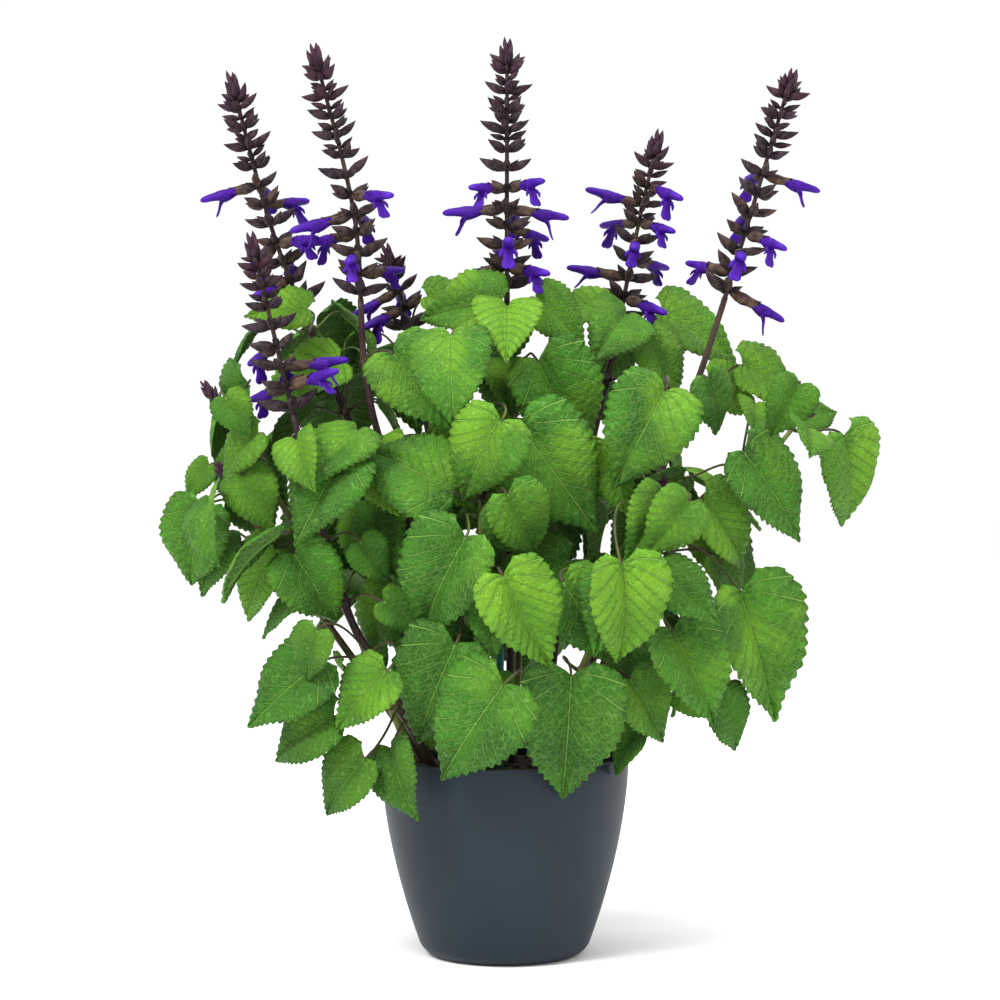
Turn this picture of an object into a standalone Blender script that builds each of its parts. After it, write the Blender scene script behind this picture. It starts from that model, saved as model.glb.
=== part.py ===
"""A flowering sage in a round plastic pot.  Metres, +Z up, the middle of the pot's foot at the origin.

Every plant place in the tables below is in plan millimetres: x to the right, y to the back, z up from
the pot's foot, on the full-size plant.  place() turns a plan place into metres with the driving sizes.
"""
import math
import random

import bmesh
import bpy
from mathutils import Matrix, Vector
from mathutils.bvhtree import BVHTree

# ---------------------------------------------------------------- driving sizes (metres)
PLANT_TOP = 0.765            # top of the middle spike's growth plan
PLANT_WIDTH = 0.65           # over the outermost leaves
POT_HEIGHT = 0.168
POT_RADIUS = 0.1055          # outside, at the lip
POT_FOOT_RADIUS = 0.0685     # outside, at the foot, before the corner is rounded
POT_WALL = 0.0025
POT_CORNER = 0.011
SOIL_DROP = 0.012            # from the lip down to the soil
SOIL_MOUND = 0.004           # how much higher the soil is in the middle
PLANTING_DEPTH = 0.022       # how far the stems go into the soil
STEM_THICKNESS = 0.0070      # at the soil
STEM_TIP_THICKNESS = 0.0036
STAKE_THICKNESS = 0.007
STAKE_HEIGHT = 0.13          # above the soil
LEAF_LENGTH = 0.105          # a full-grown blade
LEAF_WIDTH_SHARE = 0.87      # of the blade's length
LEAF_THICKNESS = 0.0012
LEAF_STALK = 0.0020
CALYX_LENGTH = 0.0175        # of a bud low on a spike
CALYX_WIDTH_SHARE = 0.44     # of its length
OPEN_CALYX_SHARE = 1.25      # how much longer the calyx of an open flower is
BUD_RISE = 0.65              # slope of a bud out of its spike
FLOWER_RISE = 0.18           # slope of an open flower
PETAL_LENGTH = 0.030
TOP_SIZE_SHARE = 0.55        # size of the last ring's buds against the first ring's
SHOOT_BUD_STALK = 0.010      # from a shoot's top leaves to the bud over them
SHOOT_BUD_LENGTH = 0.015
SHOOT_BUD_WIDTH = 0.0068
WHORL_PITCH = 0.0165         # between rings of flowers on a spike
FIT_GAP = 0.0003             # between pieces that touch
LEAF_ROOM = 0.0009           # kept free round each leaf
STEM_ROOM = 0.0010           # kept free round a stem, a shoot's bud and the stake
JOINT_ROOM = 0.0015          # kept free round a leaf joint
SPIKE_ROOM = 0.0150          # half width of the way kept free for a spike's buds
FLOWER_ROOM = 0.0125         # half width of the way kept free for an open flower
JOINT_HEIGHT = 0.0060        # of the joint that holds a leaf pair
JOINT_WALL = 0.0014
NODE_HALF = 0.0042           # half of the straight bit of stem in a leaf joint
SIDES = 36                   # of the turned pieces
DEPTH_STEP = 0.004           # how a leaf looks for room: tries nearer and farther by this step,
DEPTH_TRIES = 19             # so many of them,
TURN_TRIES = 420             # then so many turned and moved ones
MOST_MOVE = 0.034
MOST_TURN = 60               # degrees
MOST_SHRINK = 0.45

# ---------------------------------------------------------------- growth plan (plan millimetres)
PLAN_SOIL, PLAN_TOP, PLAN_WIDTH = 155, 765, 650

STEMS = {
    "stem_a": [(-30, 24, 155), (-60, 28, 230), (-105, 32, 380), (-160, 32, 512),
               (-200, 32, 615), (-234, 30, 740)],
    "stem_b": [(-56, -36, 155), (-104, -56, 241), (-129, -62, 290), (-154, -64, 370),
               (-178, -64, 469), (-208, -62, 593)],
    "stem_c": [(-24, -10, 155), (-46, -4, 266), (-90, -6, 385), (-117, -8, 483),
               (-127, -12, 623), (-159, -16, 757)],
    "stem_d": [(6, 14, 155), (4, 4, 300), (2, -5, 530), (2, -5, 763)],
    "stem_e": [(32, 46, 155), (55, 65, 330), (97, 80, 520), (119, 82, 630), (134, 82, 696)],
    "stem_f": [(46, 4, 155), (106, 6, 342), (136, 4, 415), (166, 0, 491), (200, 0, 597), (242, 0, 738)],
    "stem_g": [(-10, 52, 155), (-45, 76, 330), (-75, 88, 480), (-88, 88, 550), (-102, 84, 596)],
    "shoot_h": [(66, -26, 155), (108, -36, 270), (163, -34, 385), (213, -25, 412), (243, -18, 445)],
    "shoot_k": [(-74, -10, 155), (-122, -28, 270), (-180, -34, 370), (-212, -28, 418), (-238, -20, 458)],
    "shoot_l": [(-66, 26, 155), (-130, 0, 250), (-196, -24, 345), (-224, -30, 388)],
    "shoot_m": [(34, -50, 155), (62, -68, 240), (92, -78, 320), (118, -80, 375)],
    "shoot_n": [(-14, -48, 155), (-14, -66, 230), (-18, -78, 300), (-20, -84, 372)],
    "shoot_p": [(-42, 60, 155), (-82, 92, 260), (-122, 120, 372)],
    "shoot_q": [(56, 52, 155), (96, 92, 260), (138, 118, 362)],
    "shoot_r": [(8, 76, 155), (14, 112, 270), (20, 132, 392)],
}

# Spikes: the stem they top, where their first ring is, and their open flowers as (height, bearing).
# Bearings are in degrees from +X towards +Y, so 270 faces the front.
SPIKES = {
    "spike_a": ("stem_a", 556, [(655, 180), (659, 90), (611, 180), (601, 300), (571, 200),
                                (640, 40), (585, 80)]),
    "spike_b": ("stem_b", 462, [(489, 0), (471, 180), (474, 300), (514, 180), (500, 90)]),
    "spike_c": ("stem_c", 560, [(633, 190), (637, 350), (614, 170), (589, 270), (620, 80), (575, 20)]),
    "spike_d": ("stem_d", 566, [(656, 0), (633, 350), (612, 10), (630, 180), (648, 225), (596, 280),
                                (584, 180), (581, 350), (640, 90), (600, 90)]),
    "spike_e": ("stem_e", 545, [(655, 0), (640, 190), (620, 350), (611, 270), (600, 10), (582, 180),
                                (569, 340), (625, 90), (590, 80)]),
    "spike_f": ("stem_f", 562, [(653, 340), (653, 135), (608, 0), (600, 225), (570, 350),
                                (630, 90), (585, 110)]),
    "spike_g": ("stem_g", 536, [(566, 180), (549, 200), (575, 90)]),
}

# Leaf pairs: name, stem, height of the joint, then the two leaves.  A leaf is (where its blade starts,
# where its tip points, its length in mm), or only a bearing for one that grows straight out; a single
# leaf's partner grows out on the other side.
LEAF_PAIRS = [
    ("d1", "stem_d", 536, ((-6, -34, 548), (-69, -42, 560), 76), ((26, -34, 554), (70, -40, 524), 62)),
    ("d2", "stem_d", 500, ((28, -56, 500), (84, -74, 424), 102), ((-46, -66, 528), (-58, -100, 490), 82)),
    ("d3", "stem_d", 448, ((22, -94, 456), (94, -114, 378), 110), ((4, -104, 455), (-37, -124, 404), 78)),
    ("d4", "stem_d", 380, ((-44, -96, 394), (-108, -104, 441), 92), 60),
    ("c1", "stem_c", 500, ((-92, -56, 506), (-52, -82, 462), 84), 120),
    ("c2", "stem_c", 430, ((-112, -66, 452), (-150, -96, 440), 80), 330),
    ("c3", "stem_c", 310, 200, 20),
    ("a1", "stem_a", 530, ((-168, 6, 546), (-206, -4, 556), 56), 90),
    ("a2", "stem_a", 460, ((-142, -12, 500), (-186, -26, 488), 76), 100),
    ("a3", "stem_a", 370, 80, 260),
    ("b1", "stem_b", 432, ((-132, -92, 421), (-172, -126, 368), 84), 170),
    ("b2", "stem_b", 352, ((-171, -96, 341), (-138, -118, 292), 72),
     ((-192, -44, 342), (-240, -48, 298), 74)),
    ("b3", "stem_b", 300, 250, 70),
    ("b4", "stem_b", 258, ((-96, -124, 248), (-140, -132, 209), 64),
     ((-150, -96, 254), (-219, -104, 214), 84)),
    ("b5", "stem_b", 214, ((-114, -108, 176), (-166, -114, 137), 66), 60),
    ("e1", "stem_e", 530, ((140, 48, 546), (224, 44, 528), 88), ((84, 40, 550), (42, 34, 566), 60)),
    ("e2", "stem_e", 490, ((124, 34, 524), (150, 20, 486), 66), 110),
    ("e3", "stem_e", 400, 75, 255),
    ("f1", "stem_f", 466, ((130, -94, 474), (101, -128, 424), 92), ((206, 26, 500), (274, 26, 486), 78)),
    ("f2", "stem_f", 396, ((106, -104, 420), (124, -116, 347), 88), 80),
    ("f3", "stem_f", 320, 30, 200),
    ("g1", "stem_g", 512, ((-66, 44, 560), (-20, 34, 566), 58), 100),
    ("g2", "stem_g", 410, 130, 320),
    ("h1", "shoot_h", 404, ((199, -56, 424), (266, -62, 368), 94), ((222, -8, 474), (176, -24, 452), 64)),
    ("h2", "shoot_h", 352, ((195, -62, 308), (245, -70, 202), 116), ((160, -90, 394), (127, -100, 352), 66)),
    ("h3", "shoot_h", 262, ((178, -85, 224), (210, -88, 185), 58), 290),
    ("k1", "shoot_k", 408, ((-204, -50, 440), (-246, -58, 424), 56), 100),
    ("l1", "shoot_l", 346, ((-234, -16, 357), (-272, -24, 319), 64), 60),
    ("m1", "shoot_m", 318, ((136, -118, 280), (179, -144, 228), 86), ((47, -126, 320), (86, -148, 274), 76)),
    ("m2", "shoot_m", 244, ((53, -134, 245), (51, -148, 139), 108), ((101, -116, 241), (140, -124, 202), 66)),
    ("n1", "shoot_n", 292, ((-40, -130, 270), (-89, -142, 192), 98), ((-7, -134, 328), (48, -144, 252), 98)),
    ("n2", "shoot_n", 232, ((-2, -142, 240), (-64, -156, 172), 100),
     ((-78, -114, 204), (-55, -128, 130), 84)),
    ("p1", "shoot_p", 286, 190, 10),
    ("q1", "shoot_q", 280, 330, 150),
    ("r1", "shoot_r", 300, 30, 210),
]

# Small leaves in the angles of some pairs, from the two free faces of the joint or of the shoot's top.
# The other joints carry short ones that grow straight out, wherever there is room.
AXIL_LEAVES = {
    "leaves_b2": (((-118, -90, 351), (-89, -95, 318), 44),),
    "leaves_b4": (((-150, -128, 281), (-171, -136, 245), 48),),
    "leaves_b5": (((-140, -100, 209), (-206, -106, 192), 74),),
    "leaves_f1": (((169, -40, 487), (195, -45, 454), 56), ((174, 0, 494), (228, 0, 474), 66)),
    "leaves_f2": (((128, 20, 445), (165, 25, 415), 60),),
    "leaves_f3": (((178, -20, 337), (222, -25, 304), 58),),
    "leaves_h2": (((164, -50, 384), (219, -55, 342), 78), ((165, -30, 360), (212, -35, 333), 60)),
    "leaves_k1": (((-250, -40, 414), (-274, -50, 394), 38), ((-222, -40, 428), (-265, -45, 419), 48)),
    "leaves_m2": (((112, -112, 199), (62, -115, 172), 64), ((142, -100, 232), (178, -102, 221), 50)),
    "shoot_h": (((252, 10, 452), (282, 14, 468), 44),),
    "shoot_k": (((-230, -40, 470), (-212, -55, 444), 40),),
    "shoot_n": (((-20, -118, 407), (4, -122, 368), 48), ((-8, -112, 380), (20, -118, 345), 50)),
}

# The youngest pair at the top of each side shoot, which grows out of the shoot itself.
SHOOT_TOPS = {
    "shoot_h": (((289, 2, 438), (338, -4, 362), 92), ((244, -42, 480), (222, -62, 444), 54)),
    "shoot_k": (((-216, -14, 492), (-282, -20, 454), 84), 80),
    "shoot_l": (((-254, -22, 379), (-292, -30, 305), 84), ((-222, -62, 410), (-196, -88, 373), 60)),
    "shoot_m": (((117, -112, 318), (161, -122, 292), 66), ((92, -140, 336), (124, -156, 240), 100)),
    "shoot_n": (((-32, -150, 356), (-86, -164, 284), 98), ((8, -118, 400), (38, -126, 352), 70)),
    "shoot_p": (140, 320),
    "shoot_q": (20, 200),
    "shoot_r": (100, 280),
}

STAKE_FOOT = (-4, -22, 155)

UP = Vector((0, 0, 1))
FRONT = Vector((0, -1, 0))
SOIL_TOP = POT_HEIGHT - SOIL_DROP
WIDE = PLANT_WIDTH / PLAN_WIDTH
TALL = (PLANT_TOP - SOIL_TOP) / (PLAN_TOP - PLAN_SOIL)


def place(x, y, z):
    """A plan place in metres."""
    return Vector((x * WIDE, y * WIDE, SOIL_TOP + (z - PLAN_SOIL) * TALL))


def on_stem(stem, z):
    """The middle of a stem at a plan height, on a smooth curve through the stem's places."""
    knots = STEMS[stem]
    last = len(knots) - 1
    start = max([i for i in range(last) if knots[i][2] <= z], default=0)
    low, high = knots[start], knots[start + 1]
    span = high[2] - low[2]
    t = (z - low[2]) / span

    def slope(i, axis):
        a, b = knots[max(i - 1, 0)], knots[min(i + 1, last)]
        return (b[axis] - a[axis]) / (b[2] - a[2]) * span

    def across(axis):
        return ((2 * t ** 3 - 3 * t ** 2 + 1) * low[axis] + (t ** 3 - 2 * t ** 2 + t) * slope(start, axis)
                + (3 * t ** 2 - 2 * t ** 3) * high[axis] + (t ** 3 - t ** 2) * slope(start + 1, axis))

    return place(across(0), across(1), z)


def stem_frame(stem, z):
    """Middle, direction, the two side directions and the half thickness of a stem at a plan height."""
    middle = on_stem(stem, z)
    along = (on_stem(stem, z + 1) - on_stem(stem, z - 1)).normalized()
    side = (Vector((1, 0, 0)) - along * along.x).normalized()
    share = (z - PLAN_SOIL) / (STEMS[stem][-1][2] - PLAN_SOIL)
    half = (STEM_THICKNESS + (STEM_TIP_THICKNESS - STEM_THICKNESS) * min(max(share, 0), 1)) / 2
    return middle, along, side, along.cross(side), half


# ---------------------------------------------------------------- leaves

class Leaf:
    """One leaf: its stalk from a face of the stem to the blade, and a bent, folded, heart-shaped blade.

    root is (middle of the face, its outward direction, its upward direction, half height, half width).
    """

    def __init__(self, root, base, chord, length, curl, fold, facing):
        self.root, self.base, self.chord = root, base, chord.normalized()
        self.length, self.curl, self.fold, self.facing = length, curl, fold, facing
        self.width = length * LEAF_WIDTH_SHARE
        self.set_axes()

    def set_axes(self):
        normal = (self.facing - self.chord * self.facing.dot(self.chord)).normalized()
        across = self.chord.cross(normal)
        turn = Matrix.Rotation(-self.curl / 2, 3, across)
        self.run = (turn @ self.chord).normalized()
        self.normal = (turn @ normal).normalized()
        self.across = self.run.cross(self.normal)

    def point(self, u, v, lift=0.0):
        """A place on the blade: u from base (0) to tip (1), v across (-1 to 1), lift off the sheet."""
        bend = self.curl * u
        reach = self.length / self.curl
        spine = self.base + self.run * (reach * math.sin(bend)) - self.normal * (reach * (1 - math.cos(bend)))
        normal = self.normal * math.cos(bend) + self.run * math.sin(bend)
        spread = self.width / 2
        return (spine + self.across * (spread * v * math.cos(self.fold))
                + normal * (spread * abs(v) * math.sin(self.fold) + lift))

    def stalk(self, t):
        """A place on the leaf stalk, from the stem (0) to the blade (1)."""
        a, d = self.root[0], self.base
        reach = (d - a).length
        b = a + self.root[1] * (0.35 * reach) + UP * (0.12 * reach)
        c = d - self.run * (0.30 * reach) - self.normal * (0.10 * reach)
        s = 1 - t
        return a * s ** 3 + b * (3 * s * s * t) + c * (3 * s * t * t) + d * t ** 3

    def moved(self, step, turn, roll, size):
        """The same leaf with its blade moved, turned, rolled round its midrib and made smaller."""
        return Leaf(self.root, self.base + step, turn @ self.chord, self.length * size,
                    self.curl, self.fold, turn @ roll @ self.facing)

    def search(self, dice):
        """Other ways for the leaf to lie: first nearer or farther, then turned and moved more and more."""
        still = Matrix.Identity(3)
        for number in range(DEPTH_TRIES):
            yield self.moved(FRONT * (DEPTH_STEP * (number // 2) * (-1) ** number), still, still, 1)
        for number in range(TURN_TRIES):
            amount = number / TURN_TRIES
            spins = [math.radians(dice.uniform(-MOST_TURN, MOST_TURN)) * amount for _ in range(3)]
            turn = Matrix.Rotation(spins[0], 3, UP) @ Matrix.Rotation(spins[1], 3, self.across)
            roll = Matrix.Rotation(spins[2], 3, self.chord)
            near = MOST_MOVE * amount
            deep = MOST_MOVE * min(1, 3 * amount)
            step = Vector((dice.uniform(-near, near), dice.uniform(-deep, deep), dice.uniform(-near, near)))
            yield self.moved(step, turn, roll, 1 - dice.uniform(0, MOST_SHRINK) * amount)


# The half outline of a blade, base to tip: (place on the midrib, place of the edge, half width there).
BLADE_ROWS = [(0.0, -0.12, 0.42), (0.12, -0.04, 0.86), (0.32, 0.24, 1.0), (0.58, 0.54, 0.78),
              (0.80, 0.80, 0.42)]
STALK_STEPS = [0.30, 0.66, 1.0]


def best_order(ring, target):
    """The order of a ring's four corners that lines up best with another ring."""
    middle, centre = sum(ring, Vector()) / 4, sum(target, Vector()) / 4
    orders = [[(k + i * hand) % 4 for i in range(4)] for k in range(4) for hand in (1, -1)]

    def cost(order):
        return sum(((ring[i] - middle).normalized() - (corner - centre).normalized()).length
                   for i, corner in zip(order, target))
    return min(orders, key=cost)


def stalk_ring(leaf, t, half, side):
    """Four corners round the leaf stalk: a square that faces along it."""
    middle = leaf.stalk(t)
    along = (leaf.stalk(min(t + 0.02, 1)) - leaf.stalk(t - 0.02)).normalized()
    side = (side - along * side.dot(along)).normalized()
    lift = side.cross(along)
    return [middle + side * half * a + lift * half * b for a, b in ((-1, -1), (1, -1), (1, 1), (-1, 1))], side


def root_corners(leaf):
    """The corners of the face that a leaf grows from, a little inside its edges."""
    middle, out, along, high, wide = leaf.root
    side = along.cross(out)
    return [middle + side * wide * a + along * high * b
            for a, b in ((-0.9, -0.9), (0.9, -0.9), (0.9, 0.9), (-0.9, 0.9))]


def leaf_shell(leaf, rooted=False, grow=0.0):
    """Corners and faces of one leaf, from its first stalk ring or its root to its tip; its start is open."""
    half = LEAF_STALK / 2 + grow
    lift = LEAF_THICKNESS / 2 + grow
    rings = []
    side = leaf.across
    for t in reversed(STALK_STEPS):
        ring, side = stalk_ring(leaf, t, half, side)
        rings.insert(0, ring)
    # The last ring is the blade's own start, flat in the blade.
    rings[-1] = [leaf.base + leaf.across * half * a + leaf.normal * lift * b
                 for a, b in ((-1, -1), (1, -1), (1, 1), (-1, 1))]
    if rooted:
        root = root_corners(leaf)
        rings.insert(0, [root[i] for i in best_order(root, rings[0])])
    points = [p for ring in rings for p in ring]
    faces = []
    for k in range(len(rings) - 1):
        for i in range(4):
            j = (i + 1) % 4
            faces.append((4 * k + i, 4 * k + j, 4 * k + 4 + j, 4 * k + 4 + i))
    bottom_left, bottom_right, top_right, top_left = range(len(points) - 4, len(points))
    wider = 1 + 2 * grow / leaf.width
    sheets = {}
    for level, sign in (("top", 1), ("under", -1)):
        rib = []
        for u, _, _ in BLADE_ROWS[1:]:
            rib.append(len(points))
            points.append(leaf.point(u, 0, sign * lift))
        tip = len(points)
        points.append(leaf.point(1 + grow / leaf.length, 0, sign * lift))
        edges = {}
        for hand in (-1, 1):
            edges[hand] = []
            for _, u, v in BLADE_ROWS:
                edges[hand].append(len(points))
                points.append(leaf.point(u * (1 + grow / leaf.length), hand * v * wider, sign * lift))
        sheets[level] = (rib, tip, edges)
        starts = {-1: top_left, 1: top_right} if sign > 0 else {-1: bottom_left, 1: bottom_right}
        faces.append((starts[-1], starts[1], rib[0]))
        for hand in (-1, 1):
            spine = [starts[hand]] + rib
            edge = edges[hand]
            for k in range(len(spine) - 1):
                faces.append((spine[k], spine[k + 1], edge[k + 1], edge[k]))
            faces.append((spine[-1], tip, edge[-1]))
    for hand, start_top, start_under in ((-1, top_left, bottom_left), (1, top_right, bottom_right)):
        upper = [start_top] + sheets["top"][2][hand] + [sheets["top"][1]]
        lower = [start_under] + sheets["under"][2][hand] + [sheets["under"][1]]
        for k in range(len(upper) - 1):
            faces.append((upper[k], upper[k + 1], lower[k + 1], lower[k]))
    return points, faces


# ---------------------------------------------------------------- growing room for the leaves

class Solid:
    """A body that leaves keep clear of."""

    def __init__(self, points, faces):
        self.low = [min(p[i] for p in points) for i in range(3)]
        self.high = [max(p[i] for p in points) for i in range(3)]
        self.faces = faces
        self.tree = BVHTree.FromPolygons(points, faces)

    def meets(self, other):
        if any(self.low[i] > other.high[i] or other.low[i] > self.high[i] for i in range(3)):
            return False
        return bool(self.tree.overlap(other.tree))

    def crosses_itself(self):
        """Whether two faces that share no corner meet."""
        return any(a < b and not set(self.faces[a]) & set(self.faces[b])
                   for a, b in self.tree.overlap(self.tree))


def square_tube(line, half):
    """A closed square tube along a list of places."""
    points, faces = [], []
    for k, place_here in enumerate(line):
        along = (line[min(k + 1, len(line) - 1)] - line[max(k - 1, 0)]).normalized()
        side = along.orthogonal().normalized() if k == 0 else (side - along * side.dot(along)).normalized()
        other = along.cross(side)
        points += [place_here + (side * a + other * b) * half
                   for a, b in ((-1, -1), (1, -1), (1, 1), (-1, 1))]
    for k in range(len(line) - 1):
        faces += [(4 * k + i, 4 * k + (i + 1) % 4, 4 * k + 4 + (i + 1) % 4, 4 * k + 4 + i) for i in range(4)]
    faces += [(3, 2, 1, 0), tuple(range(len(points) - 4, len(points)))]
    return points, faces


def turned(profile, sides=SIDES):
    """A closed body turned about Z from (radius, height) pairs; a radius of 0 closes it in the middle."""
    points, faces, rings = [], [], []
    for radius, height in profile:
        if radius == 0:
            rings.append([len(points)] * sides)
            points.append(Vector((0, 0, height)))
            continue
        rings.append(list(range(len(points), len(points) + sides)))
        for k in range(sides):
            angle = 2 * math.pi * k / sides
            points.append(Vector((radius * math.cos(angle), radius * math.sin(angle), height)))
    for low, high in zip(rings, rings[1:]):
        for k in range(sides):
            corners = [low[k], low[(k + 1) % sides], high[(k + 1) % sides], high[k]]
            faces.append(tuple(dict.fromkeys(corners)))
    return points, faces


def pot_radius(height):
    """The pot's outside, which curves in more and more towards the foot."""
    return POT_RADIUS - (POT_RADIUS - POT_FOOT_RADIUS) * (1 - height / POT_HEIGHT) ** 1.75


def pot_profile():
    """From the middle of the underside, up the outside, over the lip and down to the middle inside."""
    profile = [(0, 0), (pot_radius(0) - POT_CORNER, 0)]
    for degrees in (30, 60):
        angle = math.radians(degrees)
        height = POT_CORNER * (1 - math.cos(angle))
        profile.append((pot_radius(height) - POT_CORNER * (1 - math.sin(angle)), height))
    profile += [(pot_radius(h), h) for h in wall_heights()]
    profile.append((POT_RADIUS - 0.0006, POT_HEIGHT - 0.0004))
    profile.append((POT_RADIUS - POT_WALL / 2, POT_HEIGHT))
    profile.append((POT_RADIUS - POT_WALL + 0.0005, POT_HEIGHT - 0.0006))
    return profile + inside_profile()[::-1]


def wall_heights():
    """Heights of the rings of the pot's side wall, outside and inside alike."""
    return [POT_CORNER + (POT_HEIGHT - 0.002 - POT_CORNER) * k / 6 for k in range(7)]


def inside_profile():
    """The pot's inside, from the middle of its floor up to just below the lip."""
    profile = [(0, POT_WALL), (pot_radius(POT_CORNER) - POT_WALL - 0.006, POT_WALL + 0.001)]
    return profile + [(pot_radius(h) - POT_WALL, h) for h in wall_heights()]


def spike_whorls(spike):
    """The rings of flowers on a spike: (plan height, share of the way up), bottom to top."""
    stem, start, _ = SPIKES[spike]
    top = STEMS[stem][-1][2]
    step = WHORL_PITCH / TALL
    count = int((top - 8 - start) / step)
    return [(start + k * step, k / count) for k in range(count + 1)]


def whorl_faces(spike, number):
    """The four outward directions of a ring, turned an eighth from one ring to the next."""
    height = spike_whorls(spike)[number][0]
    middle, along, side, other, half = stem_frame(SPIKES[spike][0], height)
    turn = Matrix.Rotation(math.radians(45 * (number % 2)), 3, along)
    side, other = turn @ side, turn @ other
    return middle, along, [side, other, -side, -other], half


def open_flowers(spike):
    """(ring, face) for each open flower of a spike, nearest to its height and bearing."""
    heights = [h for h, _ in spike_whorls(spike)]
    found = set()
    for height, bearing in SPIKES[spike][2]:
        number = min(range(len(heights)), key=lambda k: abs(heights[k] - height))
        _, _, outs, _ = whorl_faces(spike, number)
        aim = Vector((math.cos(math.radians(bearing)), math.sin(math.radians(bearing)), 0))
        found.add((number, max(range(4), key=lambda k: outs[k].dot(aim))))
    return found


def ring_size(share):
    """Size of the buds in a ring, which shrink towards the top of the spike."""
    return 1 - (1 - TOP_SIZE_SHARE) * share


def flower_aim(out, along, is_open):
    """Which way a bud or a flower points from its face of the spike."""
    return (out + along * (FLOWER_RISE if is_open else BUD_RISE)).normalized()


def standing_solids():
    """What the leaves grow round: pot, stake, spikes and flowers; then the stems; then the leaf joints."""
    soil = [(0, SOIL_TOP - SOIL_DROP), (POT_RADIUS - POT_WALL, SOIL_TOP - SOIL_DROP),
            (POT_RADIUS - POT_WALL, SOIL_TOP), (0, SOIL_TOP + SOIL_MOUND)]
    foot = place(*STAKE_FOOT)
    solids = [Solid(*turned(pot_profile())), Solid(*turned(soil)),
              Solid(*square_tube([foot, foot + UP * STAKE_HEIGHT], STAKE_THICKNESS / 2 + STEM_ROOM))]
    by_stem = {}
    for stem, knots in STEMS.items():
        line = [on_stem(stem, PLAN_SOIL + (knots[-1][2] - PLAN_SOIL) * k / 12) for k in range(13)]
        if stem in SHOOT_TOPS:
            _, along, _, _, _ = stem_frame(stem, knots[-1][2])
            line.append(line[-1] + along * (NODE_HALF + SHOOT_BUD_STALK + SHOOT_BUD_LENGTH))
        by_stem[stem] = Solid(*square_tube(line, STEM_THICKNESS / 2 + STEM_ROOM))
    for spike, (stem, start, _) in SPIKES.items():
        top = STEMS[stem][-1][2]
        line = [on_stem(stem, start + (top - start) * k / 5) for k in range(6)]
        solids.append(Solid(*square_tube(line, SPIKE_ROOM)))
        for number, face in sorted(open_flowers(spike)):
            middle, along, outs, _ = whorl_faces(spike, number)
            reach = CALYX_LENGTH * OPEN_CALYX_SHARE + PETAL_LENGTH
            far = middle + flower_aim(outs[face], along, True) * reach
            solids.append(Solid(*square_tube([middle, far], FLOWER_ROOM)))
    joints = {}
    for name, stem, height, _, _ in LEAF_PAIRS:
        middle, along, _, _, half = stem_frame(stem, height)
        ends = [middle - along * JOINT_HEIGHT / 2, middle + along * JOINT_HEIGHT / 2]
        joints["leaves_" + name] = Solid(*square_tube(ends, half + FIT_GAP + JOINT_WALL + JOINT_ROOM))
    return solids, by_stem, joints


def grow_out(middle, outward, length, stalk, dice):
    """A leaf that simply grows out from a joint: where its blade starts and which way it points."""
    outward = Vector((outward.x, outward.y, 0)).normalized()
    base = middle + outward * stalk + UP * dice.uniform(0.0, 0.35) * stalk
    return base, outward + UP * dice.uniform(-0.9, 0.0), length * LEAF_LENGTH


def upper_side(base, front):
    """Which way a blade's upper side looks: up, outwards and a given share to the front."""
    outward = Vector((base.x, base.y, 0))
    outward = outward.normalized() if outward.length > 0.01 else FRONT
    return (UP * 0.6 + outward * (0.55 - 0.3 * front) + FRONT * front).normalized()


def best_faces(faces, ways):
    """The order of the stem's faces, two opposite and then the other two, that suits the leaves best."""
    orders = []
    for k in range(4):
        for turn in (1, 3):
            orders.append([faces[(k + step) % 4] for step in (0, 2, turn, turn + 2)])
    return max(orders, key=lambda order: sum(face.dot(way.normalized()) for face, way in zip(order, ways)))


def plan_leaves():
    """The leaves as planned, before they make room for one another: (turn, node, hand, stem, leaf)."""
    jobs = [("leaves_" + name, stem, height, (first, second), JOINT_WALL + FIT_GAP)
            for name, stem, height, first, second in LEAF_PAIRS]
    jobs += [(stem, stem, STEMS[stem][-1][2], pair, 0.0) for stem, pair in SHOOT_TOPS.items()]
    waiting = []
    for name, stem, height, pair, wall in jobs:
        dice = random.Random(name)
        middle, along, side, other, half = stem_frame(stem, height)
        specs = []
        for spec in pair + AXIL_LEAVES.get(name, ()):
            if isinstance(spec, tuple):
                base, tip = place(*spec[0]), place(*spec[1])
                specs.append((0, base, tip - base, spec[2] / 105 * LEAF_LENGTH))
            else:
                bearing = Vector((math.cos(math.radians(spec)), math.sin(math.radians(spec)), 0))
                specs.append((1, *grow_out(middle, bearing, dice.uniform(0.78, 0.98),
                                           dice.uniform(0.036, 0.056), dice)))
        aims = best_faces((side, other, -side, -other), [base - middle for _, base, _, _ in specs])
        for aim in aims[len(specs):]:
            specs.append((2, *grow_out(middle, aim, dice.uniform(0.45, 0.8),
                                       dice.uniform(0.018, 0.045), dice)))
        high = JOINT_HEIGHT / 2 if wall else NODE_HALF
        for hand, aim, (turn, base, chord, length) in zip((1, -1, 2, -2), aims, specs):
            root = (middle + aim * (half + wall), aim, along, high, half + wall)
            leaf = Leaf(root, base, chord, length, math.radians(dice.uniform(18, 48)),
                        math.radians(dice.uniform(4, 22)), upper_side(base, 0.75 if turn == 0 else 0.1))
            waiting.append((turn, name, hand, stem, leaf))
    return sorted(waiting, key=lambda job: job[0])


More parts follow.
